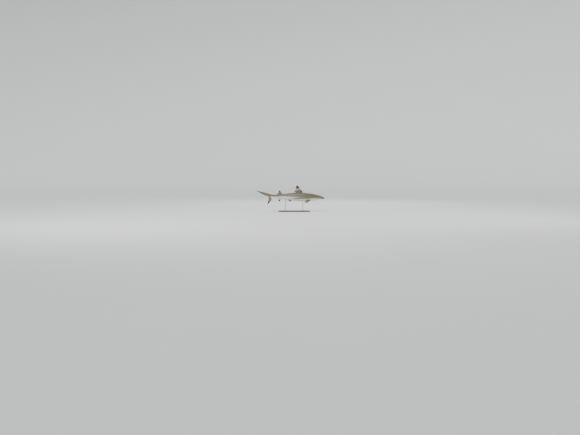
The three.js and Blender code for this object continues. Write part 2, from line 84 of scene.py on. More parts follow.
class Joining(Enum):
    """What a boolean does with the other solid."""

    ADD = "UNION"
    CUT = "DIFFERENCE"


def corners(node: str) -> tuple[Array, Array]:
    """The lowest and the highest corner of a node's box."""
    low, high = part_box(node)
    return np.array(low), np.array(high)


# Curves


class SmoothCurve:
    """A smooth curve through known values, read at any place."""

    def __init__(self, places: Sequence[float], values: Sequence[float], spread: Curve = np.asarray) -> None:
        """Keeps the known values.

        Args:
            places: where they are known, rising.
            values: the value at each place.
            spread: what the curve runs evenly in, such as the square root of the place.
        """
        self.ends = (places[0], places[-1])
        self.spread = spread
        self.x = np.asarray(spread(np.asarray(places, float)), float)
        self.y = np.asarray(values, float)
        before = np.maximum(np.arange(len(self.x)) - 1, 0)
        after = np.minimum(np.arange(len(self.x)) + 1, len(self.x) - 1)
        self.slope = (self.y[after] - self.y[before]) / (self.x[after] - self.x[before])

    def __call__(self, at: Array | float) -> Array:
        """Reads the curve.

        Args:
            at: the places to read it at.

        Returns:
            The value at each place.
        """
        x = self.spread(np.clip(np.asarray(at, float), *self.ends))
        i = np.clip(np.searchsorted(self.x, x) - 1, 0, len(self.x) - 2)
        span = self.x[i + 1] - self.x[i]
        t = (x - self.x[i]) / span
        rise = self.y[i + 1] - self.y[i]
        bulge = self.slope[i] * span * (1 - t) - self.slope[i + 1] * span * t - rise * (1 - 2 * t)
        return self.y[i] + t * rise + t * (1 - t) * bulge


def eased(value: Array | float, low: float, high: float) -> Array:
    """Eases from 0 at low to 1 at high."""
    t = np.clip((np.asarray(value, float) - low) / (high - low), 0, 1)
    return t * t * (3 - 2 * t)


def hump(value: Array, width: float) -> Array:
    """A smooth bump of height 1 at 0 that has died away by about twice its width."""
    return np.exp(-((value / width) ** 2))


def bezier(start: Sequence[float], pull: Sequence[float], end: Sequence[float]) -> Curve:
    """A quadratic Bezier curve in the plane.

    Args:
        start: where it starts.
        pull: the place that pulls it.
        end: where it ends.

    Returns:
        A function that gives places by their share of the curve.
    """
    a, b, c = (np.asarray(place, float) for place in (start, pull, end))

    def read(share: Array) -> Array:
        """The places at shares of the curve."""
        t = np.asarray(share, float)[..., None]
        return (1 - t) ** 2 * a + 2 * t * (1 - t) * b + t * t * c

    return read


# Meshes


def new_mesh(points: Array, faces: Sequence[Sequence[int]]) -> Mesh:
    """Makes a mesh, which an object names later.

    Args:
        points: one row of three numbers for each point.
        faces: the corners of each face.

    Returns:
        The mesh.
    """
    mesh = bpy.data.meshes.new("shape")
    mesh.from_pydata(np.asarray(points, float).tolist(), [], faces)
    return mesh


def new_object(name: str, data: Any) -> Piece:
    """Makes an object of a mesh, a light or a camera, names both and puts it in the scene.

    Args:
        name: their name.
        data: what it is made of.

    Returns:
        The object.
    """
    data.name = name
    piece = bpy.data.objects.new(name, data)
    bpy.context.scene.collection.objects.link(piece)
    return piece


def numbers_of(items: Any, key: str, width: int, kind: type = np.float32) -> Array:
    """Reads numbers off the parts of a mesh.

    Args:
        items: the parts, such as its vertices.
        key: what is read.
        width: how many numbers each part has.
        kind: the kind of number.

    Returns:
        One row for each part.
    """
    found = np.empty(len(items) * width, kind)
    items.foreach_get(key, found)
    return found.reshape(-1, width)


def points_of(mesh: Mesh) -> Array:
    """The places of a mesh's vertices, one row each."""
    return numbers_of(mesh.vertices, "co", 3).astype(float)


def normals_of(mesh: Mesh) -> Array:
    """The directions that a mesh's vertices face, one row each."""
    return numbers_of(mesh.vertex_normals, "vector", 3).astype(float)


def edges_of(mesh: Mesh) -> Array:
    """The two ends of each of a mesh's edges, one row each."""
    return numbers_of(mesh.edges, "vertices", 2, np.int32)


def set_points(mesh: Mesh, points: Array) -> None:
    """Moves a mesh's vertices to new places."""
    mesh.vertices.foreach_set("co", np.asarray(points, np.float32).ravel())
    mesh.update()


def set_attribute(mesh: Mesh, name: str, values: Array) -> None:
    """Gives each vertex of a mesh a named number, or three of them.

    Args:
        mesh: the mesh.
        name: the attribute's name.
        values: one number or one row for each vertex.
    """
    kind, key = ("FLOAT", "value") if values.ndim == 1 else ("FLOAT_VECTOR", "vector")
    layer = mesh.attributes.new(name, kind, "POINT")
    layer.data.foreach_set(key, np.asarray(values, np.float32).ravel())


@contextmanager
def edited(mesh: Mesh) -> Iterator[bmesh.types.BMesh]:
    """Opens a mesh to be edited, and puts the result back.

    Args:
        mesh: the mesh.

    Yields:
        Its form, to edit.
    """
    form = bmesh.new()
    form.from_mesh(mesh)
    yield form
    form.to_mesh(mesh)
    form.free()


def face_outwards(mesh: Mesh) -> None:
    """Merges the doubled points of a closed mesh and turns every face outwards.

    Args:
        mesh: the mesh.
    """
    with edited(mesh) as form:
        bmesh.ops.remove_doubles(form, verts=form.verts, dist=1e-7)
        bmesh.ops.dissolve_degenerate(form, edges=form.edges, dist=1e-8)
        bmesh.ops.recalc_face_normals(form, faces=form.faces)
        if form.calc_volume(signed=True) < 0:
            bmesh.ops.reverse_faces(form, faces=form.faces)


def grid_faces(index: Array) -> list[list[int]]:
    """The square faces between the neighbours of a grid of point numbers."""
    corners = [index[:-1, :-1], index[:-1, 1:], index[1:, 1:], index[1:, :-1]]
    return np.stack(corners, -1).reshape(-1, 4).tolist()


def circle(middle: Sequence[float], radius: Array | float, z: float, sides: int) -> Array:
    """The points of a level circle round a middle, in order."""
    turn = radius * np.exp(1j * np.linspace(0, ROUND, sides, endpoint=False))
    return np.stack([middle[0] + turn.real, middle[1] + turn.imag, np.full(sides, z, float)], -1)


def lofted(rings: Sequence[Array], looped: bool = False) -> Mesh:
    """Makes a closed mesh through rings of equally many points.

    Args:
        rings: each ring's points, one row each, in order round it.
        looped: whether the last ring meets the first one, or each of the two has a flat cap.

    Returns:
        The mesh, facing outwards.
    """
    count = len(rings[0])
    index = np.arange(len(rings) * count).reshape(len(rings), count)
    caps = [] if looped else [index[0].tolist(), index[-1].tolist()]
    grid = np.vstack([index, index[:1]]) if looped else index
    mesh = new_mesh(np.vstack(rings), grid_faces(np.hstack([grid, grid[:, :1]])) + caps)
    face_outwards(mesh)
    return mesh


def slab(outline: Array, low: float, high: float, axis: int) -> Mesh:
    """Pulls a flat outline in two axes out along the other one, from low to high."""
    return lofted([np.insert(outline, axis, level, axis=1) for level in (low, high)])


def ellipsoid(
    centre: Sequence[float], radii: Sequence[float], turn: float = 0.0, sides: tuple[int, int] = (48, 24)
) -> Mesh:
    """A smooth closed ellipsoid.

    Args:
        centre: its middle.
        radii: half its size along x, y and z.
        turn: how far it is turned about z, in radians.
        sides: how many sides it has round z, and from pole to pole.

    Returns:
        A closed mesh.
    """
    place = Matrix.Translation(centre) @ Matrix.Rotation(turn, 4, "Z") @ Matrix.Diagonal((*radii, 1.0))
    mesh = bpy.data.meshes.new("ellipsoid")
    with edited(mesh) as form:
        bmesh.ops.create_uvsphere(form, u_segments=sides[0], v_segments=sides[1], radius=1.0, matrix=place)
    return mesh


def settled(piece: Piece) -> None:
    """Turns a piece with modifiers into a plain mesh.

    Args:
        piece: the piece.
    """
    evaluated = piece.evaluated_get(bpy.context.evaluated_depsgraph_get())
    mesh = bpy.data.meshes.new_from_object(evaluated)
    piece.modifiers.clear()
    piece.data = mesh


def join(piece: Piece, joining: Joining, tools: Sequence[Mesh]) -> None:
    """Joins other solids to a piece, or cuts them from it.

    Args:
        piece: the piece that is changed.
        joining: whether they are added or cut.
        tools: the other solids, which are used up.
    """
    for mesh in tools:
        tool = new_object("tool", mesh)
        step = piece.modifiers.new(joining.name, "BOOLEAN")
        step.solver = "MANIFOLD"
        step.operation = joining.value
        step.object = tool
        settled(piece)
        bpy.data.objects.remove(tool)


def tidied(mesh: Mesh) -> None:
    """Merges the doubled points that joins leave, splits their many-sided faces and drops folded pairs.

    Args:
        mesh: the joined mesh.
    """
    with edited(mesh) as form:
        bmesh.ops.remove_doubles(form, verts=form.verts, dist=5e-7)
        bmesh.ops.dissolve_degenerate(form, edges=form.edges, dist=1e-7)
        bmesh.ops.triangulate(form, faces=[face for face in form.faces if len(face.verts) > 4])
        known = {}
        for face in form.faces:
            known.setdefault(frozenset(face.verts), []).append(face)
        folded = [face for pair in known.values() if len(pair) > 1 for face in pair]
        bmesh.ops.delete(form, geom=folded, context="FACES")


def distance_along(mesh: Mesh, points: Array, starts: Array, limit: float) -> Array:
    """How far each vertex is from the nearest starting vertex, along the edges.

    Args:
        mesh: the mesh.
        points: its vertices' places.
        starts: the numbers of the starting vertices.
        limit: how far to look.

    Returns:
        The distance of each vertex, or twice the limit where it is further.
    """
    edges = edges_of(mesh)
    both = np.vstack([edges, edges[:, ::-1]])
    steps = np.linalg.norm(points[both[:, 0]] - points[both[:, 1]], axis=1)
    far = np.full(len(points), 2 * limit)
    far[starts] = 0
    changed = True
    while changed:
        before = far.copy()
        reached = before[both[:, 0]] + steps
        useful = (reached < limit) & (reached < before[both[:, 1]])
        np.minimum.at(far, both[useful, 1], reached[useful])
        changed = bool(useful.any())
    return far


def filled(mesh: Mesh, weight: Array, rounds: int) -> None:
    """Fills the hollow corners of a mesh little by little, and leaves its ridges and thin edges alone.

    Args:
        mesh: the mesh, facing outwards.
        weight: how much each vertex may move, from 0 to 1.
        rounds: how often it is done.
    """
    points = points_of(mesh)
    first, second = edges_of(mesh).T
    count = len(points)
    neighbours = np.bincount(first, minlength=count) + np.bincount(second, minlength=count)
    for _ in range(rounds):
        normals = normals_of(mesh)
        total = np.stack([
            np.bincount(first, points[second, k], count) + np.bincount(second, points[first, k], count)
            for k in range(3)
        ], -1)
        step = total / neighbours[:, None] - points
        inwards = np.minimum((step * normals).sum(axis=1), 0)
        points += (weight / 2)[:, None] * (step - inwards[:, None] * normals)
        set_points(mesh, points)


# The body's form


@dataclass(frozen=True)
class Station:
    """One section of the body: how far its skin stands from the axis, and how square its halves are."""

    at: float
    back: float
    belly: float
    side: float
    upper: float = 2.0
    lower: float = 2.0


STATIONS = (
    Station(0.0, -0.0065, 0.0065, 0.0),  # snout tip
    Station(0.008, 0.005, 0.0163, 0.0185, 2.0, 2.1),
    Station(0.02, 0.0125, 0.02, 0.0275, 2.05, 2.2),
    Station(0.035, 0.0195, 0.0228, 0.0345, 2.1, 2.35),  # nostrils
    Station(0.065, 0.0305, 0.0275, 0.0437, 2.1, 2.5),  # eyes, mouth
    Station(0.11, 0.0425, 0.0395, 0.0522, 2.1, 2.5),  # jaw corners
    Station(0.17, 0.0545, 0.051, 0.0578, 2.1, 2.35),  # first gill slit
    Station(0.24, 0.0628, 0.0585, 0.0595, 2.0, 2.25),  # shoulder
    Station(0.32, 0.066, 0.061, 0.0575, 1.95, 2.15),  # first dorsal
    Station(0.41, 0.0615, 0.059, 0.0515, 1.95, 2.1),
    Station(0.5, 0.052, 0.05, 0.042, 1.95, 2.1),  # pelvic fins
    Station(0.61, 0.037, 0.0335, 0.0285, 1.95, 2.0),  # second dorsal
    Station(0.69, 0.0265, 0.0235, 0.0198),
    Station(0.745, 0.0212, 0.0192, 0.0155),  # tail stalk
    Station(0.79, 0.0292, 0.0025, 0.0112),  # upper tail lobe
    Station(0.84, 0.0411, -0.0155, 0.0078),
    Station(0.9, 0.0536, -0.0355, 0.0045),
    Station(0.985, 0.069, -0.0645, 0.0007),
)
SIZES = ("back", "belly", "side", "upper", "lower")
SWINGS = ((0.0, 3.5), (0.25, 1.5), (0.5, -4.5), (0.68, -1.5), (0.8, 14), (0.9, 24), (1.0, 29))


@dataclass(frozen=True)
class Section:
    """Sections of the body at many places, as arrays of shares."""

    middle: Array
    up: Array
    down: Array
    side: Array
    upper: Array
    lower: Array

    def depth(self, y: Array, z: Array) -> Array:
        """How deep places are in the section.

        Args:
            y: how far left they are.
            z: how far up they are.

        Returns:
            For each, under 1 inside the skin and over 1 outside.
        """
        above = z > self.middle
        power = np.where(above, self.upper, self.lower)
        height = np.maximum(np.where(above, self.up, self.down), 1e-6)
        return np.abs(y / np.maximum(self.side, 1e-6)) ** power + np.abs((z - self.middle) / height) ** power

    def height(self, z: Array) -> Array:
        """How high places are in the section, from -1 at the belly to 1 at the back."""
        return (z - self.middle) / np.maximum(np.where(z > self.middle, self.up, self.down), 1e-6)


@dataclass(frozen=True)
class BodyForm:
    """The straight body's outline, and how it bends into its pose on the stand."""

    length: float = 1.4
    axis_height: float = 0.3
    nose_down: float = math.radians(2)
    end: float = 0.985
    middle: float = 0.4425
    bend_steps: int = 500
    curves: dict[str, SmoothCurve] = field(default_factory=dict)

    def __post_init__(self) -> None:
        """Fits smooth curves through the stations' sizes, the headings and the bent centreline."""
        at = [station.at for station in STATIONS]
        for key in SIZES:
            self.curves[key] = SmoothCurve(at, [getattr(station, key) for station in STATIONS], np.sqrt)
        swing = self.curves["swing"] = SmoothCurve(*zip(*SWINGS))
        heading = np.radians(swing((np.arange(self.bend_steps) + 0.5) / self.bend_steps))
        ends = np.linspace(0, 1, self.bend_steps + 1)
        for key, share in (("x", np.cos(heading)), ("y", np.sin(heading))):
            run = np.concatenate([[0], np.cumsum(-share / self.bend_steps)])
            run = run - np.interp(self.middle, ends, run)
            self.curves[key] = lambda along, run=run: np.interp(along, ends, run)

    def section(self, along: Array) -> Section:
        """The body's sections.

        Args:
            along: where they are along it.

        Returns:
            The sections.
        """
        back, belly, side, upper, lower = (self.curves[key](along) for key in SIZES)
        middle = (back - belly) / 2
        return Section(middle, back - middle, belly + middle, side, upper, lower)

    def skin(self, along: Array, angle: Array) -> Array:
        """Points of the straight body's plain outline, as shares.

        Args:
            along: how far behind the snout tip each is.
            angle: how far round the section each is, from the left side over the back.

        Returns:
            One row of (along, y, z) for each.
        """
        cut = self.section(along)
        above = np.sin(angle) > 0
        power = 2 / np.where(above, cut.upper, cut.lower)
        height = np.where(above, cut.up, cut.down)
        y = np.sign(np.cos(angle)) * np.abs(np.cos(angle)) ** power * cut.side
        z = cut.middle + np.sign(np.sin(angle)) * np.abs(np.sin(angle)) ** power * height
        return np.stack([along, y, z], -1)

    def reach(self, along: Array, y: Array | float, z: Array | float, dy: float, dz: float) -> Array:
        """The distance from a place inside the body to its plain outline, as a share.

        Args:
            along: places along the body.
            y: how far left the start is.
            z: how far up the start is.
            dy: the direction's share to the left.
            dz: the direction's share up.

        Returns:
            The distance at each place.
        """
        cut = self.section(along)
        inside = np.zeros_like(np.asarray(along, float))
        outside = np.full_like(inside, 0.2)
        for _ in range(32):
            half = (inside + outside) / 2
            within = cut.depth(y + dy * half, z + dz * half) < 1
            inside = np.where(within, half, inside)
            outside = np.where(within, outside, half)
        return inside

    def pitch(self) -> Array:
        """How the level animal is tipped nose down."""
        return np.array(Matrix.Rotation(self.nose_down, 3, "Y"))

    def placed(self, points: Array) -> Array:
        """Bends the straight animal and sets it on the stand.

        Args:
            points: straight points, in metres.

        Returns:
            Rows of (x, y, z), in metres.
        """
        straight = points / self.length
        along = np.clip(straight[:, 0], 0, 1)
        turn = np.radians(self.curves["swing"](along))
        x = self.curves["x"](along) - straight[:, 1] * np.sin(turn) + along - straight[:, 0]
        y = self.curves["y"](along) + straight[:, 1] * np.cos(turn)
        level = np.stack([x, y, straight[:, 2]], -1) * self.length
        return level @ self.pitch().T + np.array([0, 0, self.axis_height])

    def straightened(self, places: Array, near: float) -> Array:
        """Takes places on the stand back to the straight animal.

        Args:
            places: rows of (x, y, z), in metres, close to one section of the body.
            near: how far along the body that section is, as a share.

        Returns:
            Straight points, in metres.
        """
        level = (places - np.array([0, 0, self.axis_height])) @ self.pitch()
        turn = math.radians(float(self.curves["swing"](near)))
        x = level[:, 0] - float(self.curves["x"](near)) * self.length
        y = level[:, 1] - float(self.curves["y"](near)) * self.length
        along = near * self.length - x * math.cos(turn) - y * math.sin(turn)
        return np.stack([along, y * math.cos(turn) - x * math.sin(turn), level[:, 2]], -1)


# Fins


@dataclass(frozen=True)
class Blade:
    """A thin fin blade between four edge curves, closed all round, that thins out to its edges."""

    rows: int
    columns: int
    edge: float = 0.7 * MM
    taper: float = 0.8

    def shares(self) -> tuple[Array, Array]:
        """How far up and how far back each point of the blade is, closer together towards the edges.

        Returns:
            The two shares, by row and column.
        """
        up, back = (
            0.85 * (1 - np.cos(math.pi * even)) / 2 + 0.15 * even
            for even in (np.linspace(0, 1, self.rows), np.linspace(0, 1, self.columns))
        )
        up_share, back_share = np.meshgrid(up, back, indexing="ij")
        return up_share, back_share

    def plan(self, root: Curve, tip: Curve, lead: Curve, trail: Curve) -> Array:
        """The blade's places in its own plane, ruled between its four edges.

        Args:
            root: the root from the front to the rear.
            tip: the tip from the front to the rear.
            lead: the leading edge from the root to the tip.
            trail: the trailing edge from the root to the tip.

        Returns:
            Places by row and column.
        """
        t, c = self.shares()
        up, back = t[..., None], c[..., None]
        ends = (1 - up) * root(c) + up * tip(c)
        sides = (1 - back) * lead(t) + back * trail(t)
        near = (1 - back) * root(0.0) + back * root(1.0)
        far = (1 - back) * tip(0.0) + back * tip(1.0)
        return ends + sides - (1 - up) * near - up * far

    def half_thickness(self, thickest: float, free: Array | float = 0.0) -> Array:
        """Half the blade's thickness at each point, in metres.

        Args:
            thickest: the root's full thickness, in metres.
            free: 1 where the root isn't joined to the body, and so has an edge of its own.

        Returns:
            One value for each row and column.
        """
        t, c = self.shares()
        wing = 0.2969 * np.sqrt(c) - 0.126 * c - 0.3516 * c**2 + 0.2843 * c**3 - 0.1036 * c**4
        rim = self.edge * np.sqrt(np.clip(c / 0.02, 0, 1))
        thick = np.maximum(thickest * (1 - self.taper * t) * wing / 0.1, rim)
        thick = thick * np.sqrt(np.clip((1 - c) / 0.02, 0, 1)) * np.sqrt(np.clip((1 - t) / 0.03, 0, 1))
        thick[:, 0] = 0
        return thick * (1 - free * (1 - np.sqrt(np.clip(t / 0.05, 0, 1)))) / 2

    def solid(self, left: Array, right: Array) -> Mesh:
        """Closes the two faces of a blade into a solid.

        Args:
            left: the points of one face, by row and column.
            right: the points of the other face.

        Returns:
            A closed mesh that faces outwards.
        """
        count = self.rows * self.columns
        index = np.arange(count).reshape(self.rows, self.columns)
        rim = np.concatenate([index[0], index[1:, -1], index[-1, -2::-1], index[-2:0:-1, 0]])
        wall = np.stack([rim, np.roll(rim, -1), np.roll(rim, -1) + count, rim + count], -1).tolist()
        faces = grid_faces(index) + grid_faces(index + count) + wall
        mesh = new_mesh(np.vstack([left.reshape(-1, 3), right.reshape(-1, 3)]), faces)
        face_outwards(mesh)
        return mesh


@dataclass(frozen=True)
class FinPlan:
    """A fin's outline as [along, out] places, in shares, out from the skin under its base.

    A paired fin stands out from (base_y, base_z) inside the body, droops, and sags more towards its tip.
    The black of its tip starts at a share of its height at the leading edge, and slopes back.
    """

    base: Spot
    lead: Spot
    tip_front: Spot
    tip: Spot
    tip_rear: Spot
    trail: Spot
    free_tip: Spot
    thickness: float
    black_from: float
    black_slope: float
    pale_below: float = 0.0
    base_y: float = 0.0
    base_z: float = 0.0
    droop: float = 0.0
    sag: float = 0.0
    upwards: int = 1
    paired: bool = False
    rows: int = 44
    columns: int = 28
    fillet: float = 7 * MM


FIN_PLANS = (
    FinPlan(  # first dorsal fin
        (0.315, 0.411), (0.349, 0.062), (0.403, 0.1), (0.414, 0.109), (0.4185, 0.099),
        (0.414, 0.031), (0.456, 0.0075), 0.0118, black_from=0.66, black_slope=0.17, pale_below=0.55,
        rows=56, columns=40, fillet=13 * MM,
    ),
    FinPlan(  # second dorsal fin
        (0.613, 0.665), (0.631, 0.0315), (0.6545, 0.05), (0.662, 0.0555), (0.665, 0.05),
        (0.6635, 0.013), (0.703, 0.004), 0.0068, black_from=0.62, black_slope=0.2, pale_below=0.2,
    ),
    FinPlan(  # anal fin
        (0.617, 0.667), (0.633, 0.0285), (0.6545, 0.0455), (0.662, 0.0505), (0.6655, 0.045),
        (0.6625, 0.0095), (0.699, 0.004), 0.0066, black_from=0.55, black_slope=0.2, upwards=-1,
    ),
    FinPlan(  # pectoral fin
        (0.2, 0.257), (0.226, 0.09), (0.2735, 0.135), (0.2845, 0.1435), (0.289, 0.1355),
        (0.2605, 0.06), (0.2875, 0.0175), 0.0135, black_from=0.84, black_slope=0.06, base_y=0.034,
        base_z=-0.031, droop=math.radians(14), sag=0.011, paired=True, rows=48, columns=34, fillet=12 * MM,
    ),
    FinPlan(  # pelvic fin
        (0.459, 0.511), (0.475, 0.033), (0.4965, 0.047), (0.504, 0.0515), (0.5075, 0.046),
        (0.51, 0.0175), (0.539, 0.0065), 0.0066, black_from=0.72, black_slope=0.15, base_y=0.014,
        base_z=-0.032, droop=math.radians(34), sag=0.003, paired=True,
    ),
)


@dataclass(frozen=True)
class FinChart:
    """Where points are on a fin, as shares of its height and chord, and its weight: 1 on it and 0 off it."""

    height: Array
    chord: Array
    to_rear: Array
    weight: Array


@dataclass(frozen=True)
class Fin:
    """One fin on one side of the body, with its root sunk in it."""

    plan: FinPlan
    side: Side
    form: BodyForm
    sunk: float = 0.006
    clear: float = 0.0022

    def ways(self) -> tuple[Spot, Spot]:
        """The way the fin stands out and the way across its plane.

        Returns:
            Each as its shares to the left and up.
        """
        if self.side is Side.MIDDLE:
            return (0.0, float(self.plan.upwards)), (1.0, 0.0)
        dy, dz = self.side.value * math.cos(self.plan.droop), -math.sin(self.plan.droop)
        return (dy, dz), (dz, -dy)

    def skin_under(self, along: Array, offset: Array | float = 0.0) -> Array:
        """How far out the skin is from the line that the fin grows from.

        Args:
            along: places along the body.
            offset: how far to one side of the fin's plane to look, as a share.

        Returns:
            The distance at each place, as a share.
        """
        out, (ay, az) = self.ways()
        y = self.side.value * self.plan.base_y + ay * offset
        return self.form.reach(along, y, self.plan.base_z + az * offset, *out)

    def skin_level(self) -> float:
        """How far out the skin is under the middle of the base, from where the fin's places are counted."""
        return float(self.skin_under(np.array([sum(self.plan.base) / 2]))[0])

    def root(self, share: Array) -> Array:
        """The root's places: sunk in the body along the base, and clear of it under the free rear tip.

        Args:
            share: shares of the root, from its front.

        Returns:
            An [along, out] place for each.
        """
        front, rear = self.plan.base
        end, lift_end = self.plan.free_tip
        along = front + (end - front) * np.asarray(share, float)
        clear = self.clear + (lift_end - self.clear) * (along - rear) / (end - rear)
        lift = eased(along, rear - 0.004, rear + 0.006) * (clear + self.sunk)
        return np.stack([along, self.skin_under(along) - self.sunk + lift], -1)

    def edges(self) -> tuple[Curve, Curve, Curve]:
        """The tip, the leading edge and the trailing edge.

        Returns:
            The three curves, out from the line that the fin grows from.
        """
        plan, level = self.plan, self.skin_level()
        places = (plan.tip_front, plan.tip, plan.tip_rear, plan.lead, plan.trail)
        front, tip, rear, lead, trail = ((along, level + out) for along, out in places)
        fore, aft = self.root(0.0), self.root(1.0)
        return bezier(front, tip, rear), bezier(fore, lead, front), bezier(aft, trail, rear)

    def in_space(self, place: Array, across: Array) -> Array:
        """Turns places on the fin's plane into straight points.

        Args:
            place: [along, out] places, as shares.
            across: how far to one side of the plane each is, in metres.

        Returns:
            Straight points, in metres.
        """
        (dy, dz), (ay, az) = self.ways()
        side = self.side.value
        rise = np.maximum((place[..., 1] - self.skin_level()) / self.plan.tip[1], 0)
        off = across / self.form.length + side * self.plan.sag * rise**2
        y = side * self.plan.base_y + dy * place[..., 1] + ay * off
        z = self.plan.base_z + dz * place[..., 1] + az * off
        return np.stack([place[..., 0], y, z], -1) * self.form.length

    def fillet(self, place: Array, offset: Array | float = 0.0) -> Array:
        """How far a smooth fillet spreads the root.

        Args:
            place: [along, out] places, as shares.
            offset: how far to one side of the fin's plane they are, as a share.

        Returns:
            The spread at each place, in metres.
        """
        over = (place[..., 1] - self.skin_under(place[..., 0], offset)) * self.form.length
        return self.plan.fillet * (1 - np.clip(over / (1.6 * self.plan.fillet), 0, 1)) ** 4

    def mesh(self) -> Mesh:
        """Builds the fin's solid, flared at its root to meet the skin.

        Returns:
            A closed mesh.
        """
        plan, length = self.plan, self.form.length
        shape = Blade(plan.rows, plan.columns)
        _, c = shape.shares()
        place = shape.plan(self.root, *self.edges())
        front, rear = plan.base
        free = eased(front + (plan.free_tip[0] - front) * c, rear - 0.006, rear + 0.004)
        half = shape.half_thickness(plan.thickness * length, free)
        flared = np.sqrt(np.clip(c / 0.16, 0, 1)) * (1 - eased(place[..., 0], rear - 0.024, rear - 0.002))
        place[..., 0] -= self.fillet(place) * (1 - eased(c, 0, 0.22)) / length
        faces = []
        for sign in (1, -1):
            flare = np.zeros_like(half)
            for _ in range(8):
                flare = (flare + self.fillet(place, sign * (half + flare) / length) * flared * 0.8) / 2
            faces.append(self.in_space(place, sign * (half + flare)))
        return shape.solid(*faces)

    def chart(self, straight: Array) -> FinChart:
        """Says where points are on this fin.

        Args:
            straight: straight points, as shares.

        Returns:
            The chart.
        """
        plan, level = self.plan, self.skin_level()
        (dy, dz), (ay, az) = self.ways()
        along = straight[:, 0]
        y = straight[:, 1] - self.side.value * plan.base_y
        z = straight[:, 2] - plan.base_z
        out = y * dy + z * dz
        rise = np.maximum((out - level) / plan.tip[1], 0)
        off = np.abs(y * ay + z * az - self.side.value * plan.sag * rise**2)
        height = (out - self.skin_under(np.clip(along, 0, self.form.end))) / plan.tip[1]
        near = (off < plan.thickness) & (out > 0)
        near &= (along > plan.base[0] - 0.015) & (along < plan.free_tip[0] + 0.01)
        _, lead, trail = self.edges()
        share = np.linspace(0, 1, 60)
        reached = np.clip(out, None, level + plan.tip_front[1])
        front, rear = (np.interp(reached, edge(share)[:, 1], edge(share)[:, 0]) for edge in (lead, trail))
        chord = np.clip((along - front) / np.maximum(rear - front, 1e-4), 0, 1)
        weight = np.where(near, eased(height, 0.0, 0.1), 0.0)
        return FinChart(np.where(near, height, -1.0), chord, rear - along, weight)


@dataclass(frozen=True)
class TailLobe:
    """A lobe of the tail fin in the middle plane, with its outline as [along, z] places."""

    root_front: Spot
    root_rear: Spot
    lead: Spot
    tip_front: Spot
    tip: Spot
    tip_rear: Spot
    trail: Spot
    thickness: float
    shown_from: float
    rows: int
    columns: int = 24

    def edges(self) -> tuple[Curve, Curve, Curve, Curve]:
        """The root, the tip, the leading edge and the trailing edge.

        Returns:
            The four curves.
        """
        front, rear = np.array(self.root_front), np.array(self.root_rear)
        return (
            lambda c: front + (rear - front) * np.asarray(c)[..., None],
            bezier(self.tip_front, self.tip, self.tip_rear),
            bezier(front, self.lead, self.tip_front),
            bezier(rear, self.trail, self.tip_rear),
        )

    def mesh(self, length: float) -> Mesh:
        """Builds the lobe's solid in the straight animal.

        Args:
            length: the animal's total length, in metres.

        Returns:
            A closed mesh.
        """
        shape = Blade(self.rows, self.columns)
        place = shape.plan(*self.edges()) * length
        half = shape.half_thickness(self.thickness * length)
        faces = (np.stack([place[..., 0], sign * half, place[..., 1]], -1) for sign in (1, -1))
        return shape.solid(*faces)

    def to_rear(self, straight: Array) -> Array:
        """How far points are from the part of the lobe's trailing edge that shows.

        Args:
            straight: straight points, as shares.

        Returns:
            The distance of each, as a share.
        """
        edge = self.edges()[3](np.linspace(self.shown_from, 1, 80))
        gap = straight[:, None, [0, 2]] - edge[None]
        return np.sqrt((gap**2).sum(-1)).min(axis=1)


UPPER_LOBE = TailLobe(
    (0.746, 0.0185), (0.806, -0.0105), (0.86, 0.046), (0.9885, 0.0705), (0.9985, 0.0715),
    (0.9925, 0.063), (0.875, 0.002), 0.0075, shown_from=0.14, rows=56,
)
LOWER_LOBE = TailLobe(
    (0.744, 0.0), (0.818, 0.004), (0.768, -0.078), (0.8215, -0.119), (0.8285, -0.1245),
    (0.8315, -0.1165), (0.805, -0.052), 0.0085, shown_from=0.22, rows=44,
)
NOTCH = (
    (0.938, 0.02), (0.9415, 0.034), (0.9445, 0.043), (0.947, 0.0485), (0.9488, 0.0505), (0.951, 0.0505),
    (0.9532, 0.048), (0.957, 0.042), (0.961, 0.036), (0.965, 0.025),
)


# The head's details


